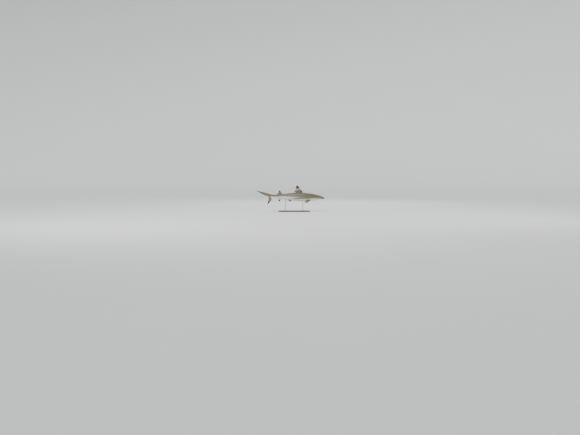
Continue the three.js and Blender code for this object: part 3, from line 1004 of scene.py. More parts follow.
@dataclass(frozen=True)
class Eye:
    """An eyeball in the straight head, and the opening between its lids."""

    form: BodyForm
    side: Side
    at: float = 0.072
    z: float = 0.007
    sunk: float = 13.0 * MM
    radius: float = 15.6 * MM
    gap: float = 0.15 * MM
    half_length: float = 11.8 * MM
    half_height: float = 9.0 * MM
    lid: float = 1.0 * MM
    fade: float = 2.15

    def ball(self) -> Array:
        """The middle of the eyeball, in straight metres."""
        skin = float(self.form.reach(np.array([self.at]), 0, self.z, 1, 0)[0]) - self.sunk / self.form.length
        return np.array([self.at, self.side.value * skin, self.z]) * self.form.length

    def share(self, points: Array) -> Array:
        """How many openings straight points are from the eye's middle."""
        u, v = (points - self.ball())[:, [0, 2]].T
        return np.hypot(u / self.half_length, v / self.half_height)

    def near(self, points: Array, reach: float) -> Array:
        """Which straight points are within so many openings of the eye's middle."""
        return (self.share(points) < reach) & (points[:, 1] * self.side.value > 0)

    def edge_of_ball(self, u: Array, v: Array) -> Array:
        """How far left or right the ball's surface is, at places back and up from its middle."""
        return abs(self.ball()[1]) + np.sqrt(np.maximum(self.radius**2 - u**2 - v**2, 0))

    def raised(self, points: Array) -> Array:
        """Lifts the lids round the opening off the plain skin.

        Args:
            points: straight points of the skin, in metres.

        Returns:
            The points, moved.
        """
        ball, length = self.ball(), self.form.length
        near = np.flatnonzero(self.near(points, self.fade))
        share = self.share(points[near])
        u, v = (points[near] - ball)[:, [0, 2]].T / np.maximum(share, 1)
        head = self.form.reach((ball[0] + u) / length, 0, (ball[2] + v) / length, 1, 0) * length
        lift = (self.edge_of_ball(u, v) + self.lid - head) * (1 - eased(share, 1, self.fade))
        folds = 0.55 * MM * hump(share - 1.25, 0.14) - 0.75 * MM * hump(share - 1.52, 0.13)
        moved = points.copy()
        moved[near, 1] += self.side.value * (lift + folds * np.abs(v / self.half_height))
        return moved

    def cutters(self) -> list[Mesh]:
        """The ball's socket, and the flared opening between the lids.

        Returns:
            The two solids.
        """
        ball, across = self.ball(), abs(self.ball()[1])
        angle = np.linspace(0, ROUND, 96, endpoint=False)
        u, v = self.half_length * np.cos(angle), self.half_height * np.sin(angle)
        rim = self.edge_of_ball(u, v)
        levels = (
            (across + 3 * MM, 0.99), (rim + 0.25 * self.lid, 1.0), (rim + 0.65 * self.lid, 1.025),
            (rim + self.lid, 1.09), (rim + 1.6 * self.lid, 1.3), (across + 24 * MM, 1.45),
        )
        rings = [
            np.stack([ball[0] + u * grow, self.side.value * (level + 0 * u), ball[2] + v * grow], -1)
            for level, grow in levels
        ]
        return [ellipsoid(ball, (self.radius + self.gap,) * 3), lofted(rings)]


@dataclass(frozen=True)
class Nostril:
    """A slanting nostril under the snout, with the small flap that hangs over it."""

    form: BodyForm
    side: Side
    at: float = 0.0335
    y: float = 0.0205
    slant: float = math.radians(22)
    half_length: float = 10.5 * MM
    half_width: float = 3.2 * MM
    depth: float = 8 * MM
    flap_back: float = 1.2 * MM
    flap_levels: tuple[Row, ...] = (
        (-1.9, 5.6, 0.9, 1.7), (-1.4, 5.9, 0.9, 1.15), (-1.05, 6.0, 0.85, 0.75), (-0.7, 5.8, 0.8, 0.65),
        (-0.35, 5.3, 0.75, 0.75), (-0.05, 4.5, 0.7, 0.9), (0.2, 3.5, 0.62, 1.1), (0.37, 2.4, 0.55, 1.25),
        (0.47, 1.3, 0.42, 1.35), (0.5, 0.5, 0.25, 1.4),
    )  # across in half widths, then half its length, half its thickness and its depth in millimetres

    def middle(self) -> Array:
        """The nostril's middle on the skin, in straight metres."""
        down = self.form.reach(np.array([self.at]), self.side.value * self.y, 0, 0, -1)[0]
        return np.array([self.at, self.side.value * self.y, -float(down)]) * self.form.length

    def turn(self) -> Array:
        """How the nostril is turned about z."""
        return np.array(Matrix.Rotation(self.side.value * self.slant, 3, "Z"))

    def local(self, points: Array) -> Array:
        """Straight points as places across, along and above the nostril, in metres."""
        return ((points - self.middle()) @ self.turn()).T

    def near(self, points: Array, reach: float) -> Array:
        """Which straight points are within so many nostrils of this one's middle."""
        return (np.hypot(*self.local(points)[:2]) < reach * self.half_length) & (points[:, 2] < 0)

    def relief(self, points: Array) -> Array:
        """A low rim round the nostril, in metres.

        Args:
            points: straight points, in metres.

        Returns:
            Its height at each point.
        """
        across, run, above = self.local(points)
        share = np.hypot(across / (self.half_width * 1.25), run / (self.half_length * 1.1))
        rim = 0.7 * MM * hump(share - 1.25, 0.35) - 0.5 * MM * hump(share, 0.8)
        return rim * (1 - eased(above, 2 * MM, 9 * MM))

    def cutters(self) -> list[Mesh]:
        """The nostril's hollow."""
        radii = (self.half_width, self.half_length, self.depth)
        return [ellipsoid(self.middle(), radii, self.side.value * self.slant)]

    def flap(self) -> Mesh:
        """The rounded flap that grows from the front edge over the hollow.

        Returns:
            A closed mesh that follows the skin.
        """
        length = self.form.length
        angle = np.linspace(0, ROUND, 24, endpoint=False)
        rings = []
        for step, half_run, half_thick, sunk in self.flap_levels:
            run = half_run * MM * np.cos(angle) - self.side.value * self.flap_back
            place = np.stack([step * self.half_width + 0 * run, run, 0 * run], -1) @ self.turn().T
            place += self.middle()
            skin = self.form.reach(place[:, 0] / length, place[:, 1] / length, 0, 0, -1) * length
            place[:, 2] = (half_thick * np.sin(angle) + sunk) * MM - skin
            rings.append(place)
        return lofted(rings)


@dataclass(frozen=True)
class Mouth:
    """The closed mouth: a bow across the underside of the head."""

    form: BodyForm
    front: float = 0.0625
    corner: float = 0.112
    half_width: float = 0.0425
    level: float = -0.0225
    gape: float = 2.0 * MM
    furrow_run: Spot = (-9 * MM, 3.2 * MM)

    def line(self, y: Array) -> Array:
        """How far back the mouth is, by how far it is from the middle, as shares."""
        return self.front + (self.corner - self.front) * (y / self.half_width) ** 2

    def lean(self, y: Array) -> Array:
        """How much further a gap between the lips is along the body than across itself."""
        return np.hypot(1, 2 * (self.corner - self.front) * y / self.half_width**2)

    def gap(self, points: Array) -> Array:
        """How far behind the mouth's line straight points are, in metres."""
        along, y, _ = points.T / self.form.length
        return (along - self.line(y)) * self.form.length / self.lean(y)

    def near(self, points: Array, reach: float) -> Array:
        """Which straight points are within so many metres of the mouth's line."""
        side = np.abs(points[:, 1]) < (self.half_width + 0.006) * self.form.length
        return (np.abs(self.gap(points)) < reach) & side & (points[:, 2] < -0.012 * self.form.length)

    def relief(self, points: Array) -> Array:
        """The lips, and the recess of the lower jaw inside the upper one, in metres.

        Args:
            points: straight points, in metres.

        Returns:
            Their height at each point.
        """
        gap = self.gap(points)
        y = np.abs(points[:, 1]) / self.form.length
        ends = 1 - eased(y, self.half_width * 0.86, self.half_width * 1.04)
        under = 1 - eased(points[:, 2] / self.form.length, -0.024, -0.014)
        upper = 1.1 * MM * hump(gap + 3.6 * MM, 3.2 * MM)
        groove = -1.2 * MM * hump(gap - 0.3 * MM, 2.0 * MM)
        lower = -0.9 * MM * hump(gap - 4 * MM, 3.5 * MM) + 1.3 * MM * hump(gap - 15 * MM, 9 * MM)
        return (upper + groove + lower) * ends * under + self.furrow(points)

    def furrow(self, points: Array) -> Array:
        """The short furrow that runs forward from each corner of the mouth, in metres.

        Args:
            points: straight points, in metres.

        Returns:
            Its height at each point.
        """
        length, run = self.form.length, np.array(self.furrow_run)
        start = np.array([self.corner + 0.001, self.half_width]) * length
        place = np.stack([points[:, 0], np.abs(points[:, 1])], -1) - start
        share = np.clip(place @ run / (run @ run), 0, 1)
        gap = np.linalg.norm(place - share[:, None] * run, axis=1)
        side = 1 - eased(np.abs(points[:, 2] / length + 0.026), 0.008, 0.014)
        return (-0.6 * MM * hump(gap, 1.2 * MM) + 0.2 * MM * hump(gap - 3.0 * MM, 1.6 * MM)) * side

    def cutters(self) -> list[Mesh]:
        """The thin bowed gap between the lips.

        Returns:
            Its one solid.
        """
        length = self.form.length
        share = np.linspace(-1, 1, 81)
        y = share * self.half_width
        half = self.gape / 2 / length * np.sqrt(np.maximum(1 - share**4, 0.02)) * self.lean(y)
        front, rear = (np.stack([self.line(y) + sign * half, y], -1) for sign in (-1, 1))
        return [slab(np.vstack([front, rear[::-1]]) * length, -0.1 * length, self.level * length, 2)]


@dataclass(frozen=True)
class Gills:
    """The gill slits of both sides, each under a flap of skin that lies back over it."""

    form: BodyForm
    slits: tuple[Spot, ...] = (
        (0.17, 0.03), (0.1835, 0.0345), (0.1965, 0.0355), (0.2085, 0.0325), (0.2195, 0.027),
    )  # how far along each is, and how tall
    level: float = -0.006
    bow: float = 0.004
    rise: float = 0.0022
    gape: float = 1.7 * MM
    depth: float = 7 * MM
    slant: float = 0.9

    def line(self, at: float, share: Array) -> Array:
        """How far back a slit is at shares of its half height."""
        return at + self.bow * (1 - np.clip(share, -1, 1) ** 2) - self.rise * np.clip(share, -1, 1)

    def charts(self, points: Array) -> Iterator[tuple[Array, Array]]:
        """Says where points are, for each slit.

        Args:
            points: straight points, in metres.

        Yields:
            How far behind the slit each is, in metres, and its share of the slit's half height.
        """
        along, _, z = points.T / self.form.length
        for at, height in self.slits:
            share = (z - self.level) / (height / 2)
            yield (along - self.line(at, share)) * self.form.length, share

    def near(self, points: Array, reach: float) -> Array:
        """Which straight points are within so many metres of a slit."""
        found = [(np.abs(gap) < reach) & (np.abs(share) < 1.15) for gap, share in self.charts(points)]
        return np.any(found, axis=0)

    def relief(self, points: Array) -> Array:
        """The swell of each flap and the step down behind its edge, in metres.

        Args:
            points: straight points, in metres.

        Returns:
            Their height at each point.
        """
        total = np.zeros(len(points))
        for gap, share in self.charts(points):
            ends = 1 - eased(np.abs(share), 0.72, 1.12)
            front = 1.1 * MM * hump(gap + 1.4 * MM, 6.5 * MM)
            rear = -1.8 * MM * hump(gap - 0.6 * MM, 5 * MM)
            total += (front + (rear - front) * eased(gap, -0.5 * MM, 0.9 * MM)) * ends
        return total

    def cutters(self) -> list[Mesh]:
        """The slits of both sides, which run in forwards under their flaps.

        Returns:
            A solid for each.
        """
        length = self.form.length
        share = np.linspace(-1, 1, 21)
        half = self.gape / 2 / length * np.maximum(1 - share**4, 0.15)
        cut = []
        for side, (at, height) in itertools.product(BOTH, self.slits):
            z = self.level + share * height / 2
            front, rear = (np.stack([self.line(at, share) + sign * half, z], -1) for sign in (-1, 1))
            skin = float(self.form.curves["side"](at)) * length
            outline = np.vstack([front, rear[::-1]]) * length
            cut.append(slab(outline, side.value * (skin - self.depth), side.value * (skin + 12 * MM), 1))
            points = points_of(cut[-1])
            points[:, 0] += self.slant * (np.abs(points[:, 1]) - skin)
            set_points(cut[-1], points)
        return cut


# The skin


@dataclass(frozen=True)
class Muscles:
    """The low swells and hollows of the flesh under the skin.

    A swell has its height in millimetres, its place and width along the body, and its place and width round
    it. A pit in the middle line has its width across, and how far round it starts, on the back or the belly.
    """

    swells: tuple[Row, ...] = (
        (1.5, 0.122, 0.024, -0.25, 0.4),  # jaw
        (-1.0, 0.156, 0.01, -0.1, 0.55),  # cheek
        (0.9, 0.046, 0.02, 0.35, 0.22),  # ridge before the eye
        (0.8, 0.075, 0.018, 0.75, 0.2),  # brow
        (-1.2, 0.15, 0.02, -1, 0.25),  # throat
    )
    pits: tuple[Row, ...] = (
        (-1.1, 0.24, 0.075, 0.006, 0.0, 1),  # nape
        (-3.4, 0.7405, 0.0032, 0.006, 0.3, 1),  # upper pit of the tail stalk
        (-1.6, 0.7395, 0.003, 0.006, 0.3, -1),  # lower pit
        (-2.2, 0.5135, 0.0065, 0.0016, 0.0, -1),  # vent
    )

    def relief(self, straight: Array, angle: Array) -> Array:
        """Their height at points of the skin.

        Args:
            straight: straight points, as shares.
            angle: how far round the section each is.

        Returns:
            The height at each point, in metres.
        """
        along, y, _ = straight.T
        above = np.sin(angle)
        total = -0.9 * hump(above - 0.18, 0.12) * eased(along, 0.26, 0.34) * (1 - eased(along, 0.66, 0.74))
        for height, at, width, level, spread in self.swells:
            total += height * hump(along - at, width) * hump(above - level, spread)
        for height, at, width, across, level, side in self.pits:
            total += height * hump(along - at, width) * hump(y, across) * (above * side > level)
        return total * MM


@dataclass(frozen=True)
class SkinGrid:
    """How the body's skin is divided: rings in stretches along it, and points round each ring."""

    sides: int = 128
    crowding: float = 0.2
    stretches: tuple[tuple[float, float, int], ...] = (
        (0.0, 0.02, 14), (0.02, 0.052, 18), (0.052, 0.092, 34), (0.092, 0.128, 24), (0.128, 0.162, 15),
        (0.162, 0.228, 44), (0.228, 0.745, 108), (0.745, 0.985, 28),
    )

    def chart(self) -> Mesh:
        """The grid laid out flat, with each point at (along, angle), from the back round to the back.

        Returns:
            The flat grid. Its rings are closest together at the snout's round tip.
        """
        (_, end, count), *rest = self.stretches
        tip = end * (np.arange(1, count + 1) / count) ** 2
        along = np.concatenate([tip, *(np.linspace(start, stop, n + 1)[1:] for start, stop, n in rest)])
        even = math.pi / 2 + ROUND * np.arange(self.sides + 1) / self.sides
        crowding = self.crowding * (1 - eased(along, 0.23, 0.4))
        angle = even[None] - crowding[:, None] * np.sin(2 * even)[None]
        rows = np.broadcast_to(along[:, None], angle.shape)
        points = np.stack([rows, angle, np.zeros_like(angle)], -1).reshape(-1, 3)
        return new_mesh(points, grid_faces(np.arange(angle.size).reshape(angle.shape)))


@dataclass
class SharkSkin:
    """The whole flesh as one skin, with the openings of its head and the fins that grow from it."""

    form: BodyForm
    fins: list[Fin]
    eyes: list[Eye]
    nostrils: list[Nostril]
    mouth: Mouth
    gills: Gills
    grid: SkinGrid = SkinGrid()
    muscles: Muscles = Muscles()
    seam_reach: float = 11 * MM
    seam_rounds: int = 22
    rods: tuple[tuple[str, float], ...] = (("stand_rod_front", 0.315), ("stand_rod_rear", 0.57))
    socket_gap: float = 0.25 * MM
    socket_depth: float = 60 * MM

    def split(self, chart: bmesh.types.BMesh, near: Callable[[Array, float], Array], reach: float) -> None:
        """Halves the squares of the flat chart round small folds.

        Args:
            chart: the chart.
            near: says which points of the skin are near the folds.
            reach: within what distance.
        """
        middles = np.array([face.calc_center_median()[:2] for face in chart.faces])
        inside = near(self.form.skin(*middles.T) * self.form.length, reach)
        chosen = (edge for face, fine in zip(chart.faces, inside) if fine for edge in face.edges)
        bmesh.ops.subdivide_edges(chart, edges=list(dict.fromkeys(chosen)), cuts=1, use_grid_fill=True)

    def raised(self, along: Array, angle: Array) -> Array:
        """The skin's points with all their folds.

        Args:
            along: how far behind the snout tip each is.
            angle: how far round the section each is.

        Returns:
            Straight points, in metres.
        """
        step = 1e-4
        skin = self.form.skin
        plain = skin(along, angle)
        points = plain * self.form.length
        ahead = skin(along + step, angle) - skin(along - step, angle)
        normal = np.cross(skin(along, angle + step) - skin(along, angle - step), ahead)
        normal /= np.maximum(np.linalg.norm(normal, axis=1), 1e-15)[:, None]
        folds = (self.mouth, self.gills, *self.nostrils)
        lift = self.muscles.relief(plain, angle) + sum(fold.relief(points) for fold in folds)
        points = points + normal * lift[:, None]
        for eye in self.eyes:
            points = eye.raised(points)
        return points

    def body(self) -> Mesh:
        """Builds the body without its fins.

        Returns:
            A closed mesh, in straight metres.
        """
        mesh, length = self.grid.chart(), self.form.length
        with edited(mesh) as chart:
            for eye in self.eyes:
                self.split(chart, eye.near, 2.0)
            for nostril in self.nostrils:
                self.split(chart, nostril.near, 1.5)
            for folds, reach in ((self.mouth, 7), (self.mouth, 3.5), (self.gills, 3.5), (self.gills, 2.2)):
                self.split(chart, folds.near, reach * MM)
            flat = np.array([vertex.co[:2] for vertex in chart.verts])
            for vertex, point in zip(chart.verts, self.raised(*flat.T)):
                vertex.co = point
            bmesh.ops.remove_doubles(chart, verts=chart.verts, dist=1e-6)
            rims = [edge for edge in chart.edges if edge.is_boundary]
            snout = chart.verts.new((0, 0, -STATIONS[0].belly * length))
            rear = [vertex.co for edge in rims for vertex in edge.verts if vertex.co.x > length / 2]
            tail = chart.verts.new(sum(rear, Vector()) / len(rear) + Vector((1 * MM, 0, 0)))
            for edge in rims:
                chart.faces.new([*edge.verts, tail if edge.verts[0].co.x > length / 2 else snout])
        face_outwards(mesh)
        return mesh

    def socket(self, rod: str, along: float) -> Mesh:
        """The hole in the belly that a rod of the stand fits.

        Args:
            rod: the rod's node.
            along: how far along the body it is.

        Returns:
            The hole's solid, in straight metres.
        """
        low, high = corners(rod)
        radius = (high[0] - low[0]) / 2 + self.socket_gap
        return lofted([
            self.form.straightened(circle((low + high) / 2, radius, high[2] + rise, 48), along)
            for rise in (-self.socket_depth, self.socket_gap)
        ])

    def straight(self) -> Piece:
        """Builds the whole flesh in the straight animal.

        Returns:
            The skin.
        """
        skin = new_object("shark_skin", self.body())
        grown = [fin.mesh() for fin in self.fins]
        grown += [lobe.mesh(self.form.length) for lobe in (UPPER_LOBE, LOWER_LOBE)]
        known = kdtree.KDTree(len(skin.data.vertices) + sum(len(mesh.vertices) for mesh in grown))
        for mesh in (skin.data, *grown):
            for point in mesh.vertices:
                known.insert(point.co, 0)
        known.balance()
        join(skin, Joining.ADD, grown)
        tidied(skin.data)
        self.soften_seams(skin.data, known)
        join(skin, Joining.CUT, [slab(np.array(NOTCH) * self.form.length, -0.02, 0.02, 1)])
        for part in (self.gills, self.mouth, *self.nostrils, *self.eyes):
            join(skin, Joining.CUT, part.cutters())
        join(skin, Joining.ADD, [nostril.flap() for nostril in self.nostrils])
        join(skin, Joining.CUT, [self.socket(rod, along) for rod, along in self.rods])
        tidied(skin.data)
        return skin

    def soften_seams(self, mesh: Mesh, known: kdtree.KDTree) -> None:
        """Smooths the corners where fins were joined to the body.

        Args:
            mesh: the joined flesh.
            known: the points that the flesh had before it was joined.
        """
        new = [i for i, point in enumerate(mesh.vertices) if known.find(point.co)[2] > 5e-6]
        far = distance_along(mesh, points_of(mesh), np.array(new), self.seam_reach)
        filled(mesh, 1 - eased(far, 0.25 * self.seam_reach, self.seam_reach), self.seam_rounds)


# The skin's markings


@dataclass(frozen=True)
class Markings:
    """Where the skin is dark, pale and black, and where painted shade darkens its openings, as numbers on
    its vertices.
    """

    form: BodyForm
    fins: list[Fin]
    mouth: Mouth
    pale_edge: SmoothCurve = SmoothCurve(
        (0, 0.03, 0.07, 0.11, 0.17, 0.24, 0.32, 0.41, 0.5, 0.6, 0.745, 1),
        (-0.8, -0.66, -0.5, -0.42, -0.36, -0.4, -0.5, -0.55, -0.4, -0.36, -0.4, -0.5),
    )
    band_height: SmoothCurve = SmoothCurve(
        (0.27, 0.36, 0.46, 0.56, 0.66, 0.74), (-0.05, -0.1, -0.14, -0.22, -0.3, -0.4),
    )
    band_width: SmoothCurve = SmoothCurve(
        (0.27, 0.33, 0.4, 0.48, 0.55, 0.62, 0.68, 0.73),
        (-0.16, -0.08, 0.0, 0.09, 0.155, 0.15, 0.06, -0.06),
    )
    line_height: SmoothCurve = SmoothCurve((0.12, 0.25, 0.4, 0.6, 0.75), (0.5, 0.34, 0.26, 0.16, 0.08))

    def paint(self, mesh: Mesh) -> None:
        """Gives the straight skin the numbers that its finish reads.

        Args:
            mesh: the skin, in straight metres.
        """
        points, normals = points_of(mesh), normals_of(mesh)
        straight = points / self.form.length
        along, y, z = straight.T
        cut = self.form.section(np.clip(along, 0, self.form.end))
        height = cut.height(z)
        shade = np.clip(self.body_shade(along, height), -1, 2)
        tip = np.full(len(points), -1.0)
        pale, rear, on_fin = (np.zeros(len(points)) for _ in range(3))
        rays = along.copy()
        for fin in self.fins:
            chart, plan = fin.chart(straight), fin.plan
            on = chart.weight
            on_fin = np.maximum(on_fin, on)
            shade += (self.fin_shade(fin, normals) - shade) * on
            line = chart.height - (plan.black_from - plan.black_slope * (chart.chord - 0.2))
            tip = np.where(on > 0, line * plan.tip[1] / 0.1, tip)
            pale = np.maximum(pale, plan.pale_below * hump(line + 0.17, 0.13) * on)
            rear = np.maximum(rear, on * hump(chart.to_rear, 0.0035) * eased(chart.height, 0.2, 0.7))
            rays = np.where(on > 0, chart.chord * 0.12 + along * 0.2, rays)
        lobe = eased(along + 0.8 * np.clip(-z - 0.015, 0, 0.06), 0.75, 0.8) * (along > 0.735)
        thin = eased(along, 0.748, 0.765) * eased(cut.depth(y, z), 1.15, 2.2)
        shade += (0.4 - 0.16 * eased(-z, 0.012, 0.045) - shade) * lobe
        on_fin = np.maximum(on_fin, 0.6 * thin)
        tip = np.maximum(tip, np.where(lobe > 0.3, self.tail_tip(along, z), -1.0))
        rear = np.maximum(rear, thin * self.tail_margin(straight))
        rays = np.where(along > 0.74, (z + 0.4 * along) * 0.9, rays)
        length = self.form.length
        for name, values in {
            "shade": shade, "tip": tip, "pale": pale, "rear": rear, "fin": on_fin, "ray": rays * length,
            "recess_shade": self.recess_shade(points, cut, on_fin),
            "line": (height - self.line_height(along)) * cut.up * length / MM,
            "lined": eased(along, 0.11, 0.17) * (1 - eased(along, 0.7, 0.75)) * (1 - on_fin),
            "muscle": (along + 0.03 * np.abs(height - 0.15)) * length / MM,
            "blocks": eased(along, 0.25, 0.36) * (1 - eased(along, 0.68, 0.76)) * (1 - on_fin),
        }.items():
            set_attribute(mesh, name, values)

    def body_shade(self, along: Array, height: Array) -> Array:
        """How far above the pale belly's edge the body is, less inside the pale band of the flank.

        Args:
            along: how far along the body each point is.
            height: how high in its section.

        Returns:
            The shade of each point, about 0 at the belly's edge and 1 on the back.
        """
        shade = height - self.pale_edge(along)
        band = (np.abs(height - self.band_height(along)) - self.band_width(along)) * 1.5
        inside = eased(along, 0.25, 0.3) * (1 - eased(along, 0.7, 0.76))
        return np.where(inside > 0, np.minimum(shade, band + 2 * (1 - inside)), shade)

    def fin_shade(self, fin: Fin, normals: Array) -> Array:
        """How dark a fin is: as the back, or pale underneath a paired fin."""
        upright = 0.75 if fin.plan.upwards > 0 else 0.02
        return normals[:, 2] * 0.75 + 0.12 if fin.plan.paired else np.full(len(normals), upright)

    def tail_tip(self, along: Array, z: Array) -> Array:
        """How far into the black of a tail lobe's tip places in the middle plane are."""
        low, high = (np.hypot(along - lobe.tip[0], z - lobe.tip[1]) for lobe in (LOWER_LOBE, UPPER_LOBE))
        return np.maximum(0.05 - low, 0.024 - high) * 8

    def tail_margin(self, straight: Array) -> Array:
        """How near points are to the dark rear edges of the tail fin.

        Args:
            straight: straight points, as shares.

        Returns:
            For each, 1 at an edge and 0 away from it.
        """
        found = np.zeros(len(straight))
        chosen = np.flatnonzero(straight[:, 0] > 0.74)
        near = straight[chosen]
        upper = hump(UPPER_LOBE.to_rear(near), 0.0045) * eased(near[:, 0], 0.822, 0.86)
        lower = hump(LOWER_LOBE.to_rear(near), 0.0035) * 0.7 * eased(-near[:, 2], 0.035, 0.075)
        found[chosen] = np.maximum(upper, lower)
        return found

    def recess_shade(self, points: Array, cut: Section, on_fin: Array) -> Array:
        """How deep inside an opening of the head points are, which the finish turns into painted shade.

        Args:
            points: straight points, in metres.
            cut: the body's section at each.
            on_fin: 1 on a fin and 0 off it.

        Returns:
            For each, from 0 on the skin to 1 inside: how much painted shade darkens it.
        """
        along, y, z = points.T / self.form.length
        inside = (1 - cut.depth(y, z)) * np.minimum(cut.side, cut.up) * 0.5 * self.form.length
        head = eased(along, 0.022, 0.026) * (1 - eased(along, 0.24, 0.26))
        mouth = self.mouth.near(points, 1.2 * MM) * 0.6 * MM
        return eased(inside + mouth, 1.6 * MM, 3.6 * MM) * head * (1 - on_fin)


# Nodes


SMOOTH = {"interpolation_type": "SMOOTHSTEP", "clamp": True}


class Term:
    """A socket of a node tree, with sums and products written as Python expressions."""

    def __init__(self, tree: "Tree", socket: bpy.types.NodeSocket | None) -> None:
        """Wraps a socket of a tree."""
        self.tree = tree
        self.socket = socket

    def other(self, output: str) -> "Term":
        """Another output of the same node."""
        return Term(self.tree, self.socket.node.outputs[output])

    def maths(self, operation: str, *values: "Term | float", clamp: bool = False) -> "Term":
        """Adds a Math node.

        Args:
            operation: what the node does.
            values: its inputs, in order.
            clamp: whether the result is kept between 0 and 1.

        Returns:
            The result.
        """
        settings = {"operation": operation, "use_clamp": clamp}
        return self.tree.node("ShaderNodeMath", settings, dict(enumerate(values)))

    def __add__(self, other: "Term | float") -> "Term":
        """The sum."""
        return self.maths("ADD", self, other)

    def __sub__(self, other: "Term | float") -> "Term":
        """The difference."""
        return self.maths("SUBTRACT", self, other)

    def __rsub__(self, other: "Term | float") -> "Term":
        """The difference, the other way round."""
        return self.maths("SUBTRACT", other, self)

    def __mul__(self, other: "Term | float") -> "Term":
        """The product."""
        return self.maths("MULTIPLY", self, other)

    def __truediv__(self, other: "Term | float") -> "Term":
        """The quotient."""
        return self.maths("DIVIDE", self, other)

    def __pow__(self, other: "Term | float") -> "Term":
        """The power."""
        return self.maths("POWER", self, other)

    def __abs__(self) -> "Term":
        """The size without its sign."""
        return self.maths("ABSOLUTE", self)

    __radd__ = __add__
    __rmul__ = __mul__

    def sine(self) -> "Term":
        """The sine, of radians."""
        return self.maths("SINE", self)

    def clipped(self) -> "Term":
        """The same, kept between 0 and 1."""
        return self.maths("ADD", self, 0.0, clamp=True)

    def eased(self, low: float, high: float) -> "Term":
        """Eases from 0 at low to 1 at high."""
        inputs = {"Value": self, "From Min": low, "From Max": high, "To Min": 0.0, "To Max": 1.0}
        return self.tree.node("ShaderNodeMapRange", SMOOTH, inputs)


class Tree:
    """A tree of nodes."""

    def __init__(self, tree: bpy.types.NodeTree) -> None:
        """Wraps a tree."""
        self.tree = tree

    def node(
        self, kind: str, settings: dict[str, Any], inputs: dict[str | int, Any], output: str | int = 0
    ) -> Term:
        """Adds a node.

        Args:
            kind: the node's type.
            settings: its own settings, set first.
            inputs: the value or term of each socket, by name or number.
            output: which output to read, if it has any.

        Returns:
            That output.
        """
        made = self.tree.nodes.new(kind)
        for key, value in settings.items():
            setattr(made, key, value)
        for key, value in inputs.items():
            if isinstance(value, Term):
                self.tree.links.new(value.socket, made.inputs[key])
            else:
                made.inputs[key].default_value = value
        return Term(self, made.outputs[output] if made.outputs else None)


class Shader(Tree):
    """A material that is built from terms."""

    def __init__(self, name: str) -> None:
        """Makes an empty material.

        Args:
            name: its name.
        """
        self.material = bpy.data.materials.new(name)
        self.material.use_nodes = True
        super().__init__(self.material.node_tree)
        self.tree.nodes.clear()

    def attribute(self, name: str, output: str = "Fac") -> Term:
        """A number, or three, that the mesh's vertices carry."""
        return self.node("ShaderNodeAttribute", {"attribute_name": name}, {}, output)

    def stretched(self, place: Term, scale: Sequence[float]) -> Term:
        """A place, with each axis stretched."""
        return self.node("ShaderNodeMapping", {}, {"Vector": place, "Scale": tuple(scale)})

    def place(self, scale: Sequence[float] = (1, 1, 1)) -> Term:
        """The place on the object, with each axis stretched."""
        return self.stretched(self.node("ShaderNodeTexCoord", {}, {}, "Object"), scale)

    def noise(self, place: Term, scale: float, detail: float = 2.0, roughness: float = 0.5) -> Term:
        """Soft noise about 0, from about -0.5 to 0.5."""
        inputs = {"Vector": place, "Scale": scale, "Detail": detail, "Roughness": roughness}
        return self.node("ShaderNodeTexNoise", {}, inputs) - 0.5

    def cells(self, place: Term, scale: float) -> Term:
        """The distance from the middle of each cell of a random division of space."""
        return self.node("ShaderNodeTexVoronoi", {}, {"Vector": place, "Scale": scale}, "Distance")

    def mix(self, share: Term, first: Term | Row, second: Term | Row) -> Term:
        """Mixes a share of a second colour into the first one."""
        return self.node("ShaderNodeMix", {"data_type": "RGBA"}, {0: share, 6: first, 7: second}, 2)

    def bump(self, height: Term, depth: float) -> Term:
        """The normal of a surface with that height, in steps of depth metres."""
        return self.node("ShaderNodeBump", {}, {"Height": height, "Distance": depth, "Strength": 1.0})

    def finished(self, **sockets: Any) -> Material:
        """Ends the material with its shader.

        Args:
            sockets: the shader's sockets, with underscores for the spaces in their names.

        Returns:
            The material.
        """
        inputs = {key.replace("_", " "): value for key, value in sockets.items()}
        surface = self.node("ShaderNodeBsdfPrincipled", {}, inputs)
        self.node("ShaderNodeOutputMaterial", {}, {"Surface": surface})
        return self.material


class Growth(Tree):
    """A Geometry Nodes tree with named sizes, which is run once on a piece and leaves a plain mesh."""

    def __init__(self, name: str, sizes: dict[str, float | int]) -> None:
        """Makes a tree with one input for each size.

        Args:
            name: the tree's name.
            sizes: the name and the value of each input.
        """
        super().__init__(bpy.data.node_groups.new(name, "GeometryNodeTree"))
        sockets = self.tree.interface
        for way in ("INPUT", "OUTPUT"):
            sockets.new_socket("Geometry", in_out=way, socket_type="NodeSocketGeometry")
        self.values = {}
        for key, value in sizes.items():
            kind = "NodeSocketInt" if isinstance(value, int) else "NodeSocketFloat"
            made = sockets.new_socket(key, in_out="INPUT", socket_type=kind)
            self.values[made.identifier] = value
        self.given = self.node("NodeGroupInput", {}, {})

    def vector(self, **axes: Term) -> Term:
        """A vector from its X, Y and Z."""
        return self.node("ShaderNodeCombineXYZ", {}, axes)

    def run(self, piece: Piece, grown: Term, material: Material) -> None:
        """Ends the tree, runs it on a piece and keeps the result as the piece's mesh.

        Args:
            piece: the piece.
            grown: the tree's last geometry.
            material: the finish of what has grown.
        """
        real = self.node("GeometryNodeRealizeInstances", {}, {"Geometry": grown})
        dressed = self.node("GeometryNodeSetMaterial", {}, {"Geometry": real, "Material": material})
        self.node("NodeGroupOutput", {}, {0: dressed})
        step = piece.modifiers.new(self.tree.name, "NODES")
        step.node_group = self.tree
        for key, value in self.values.items():
            step[key] = value
        settled(piece)


# Finishes


def colour(red: float, green: float, blue: float) -> Row:
    """A colour from its linear shares."""
    return red, green, blue, 1.0


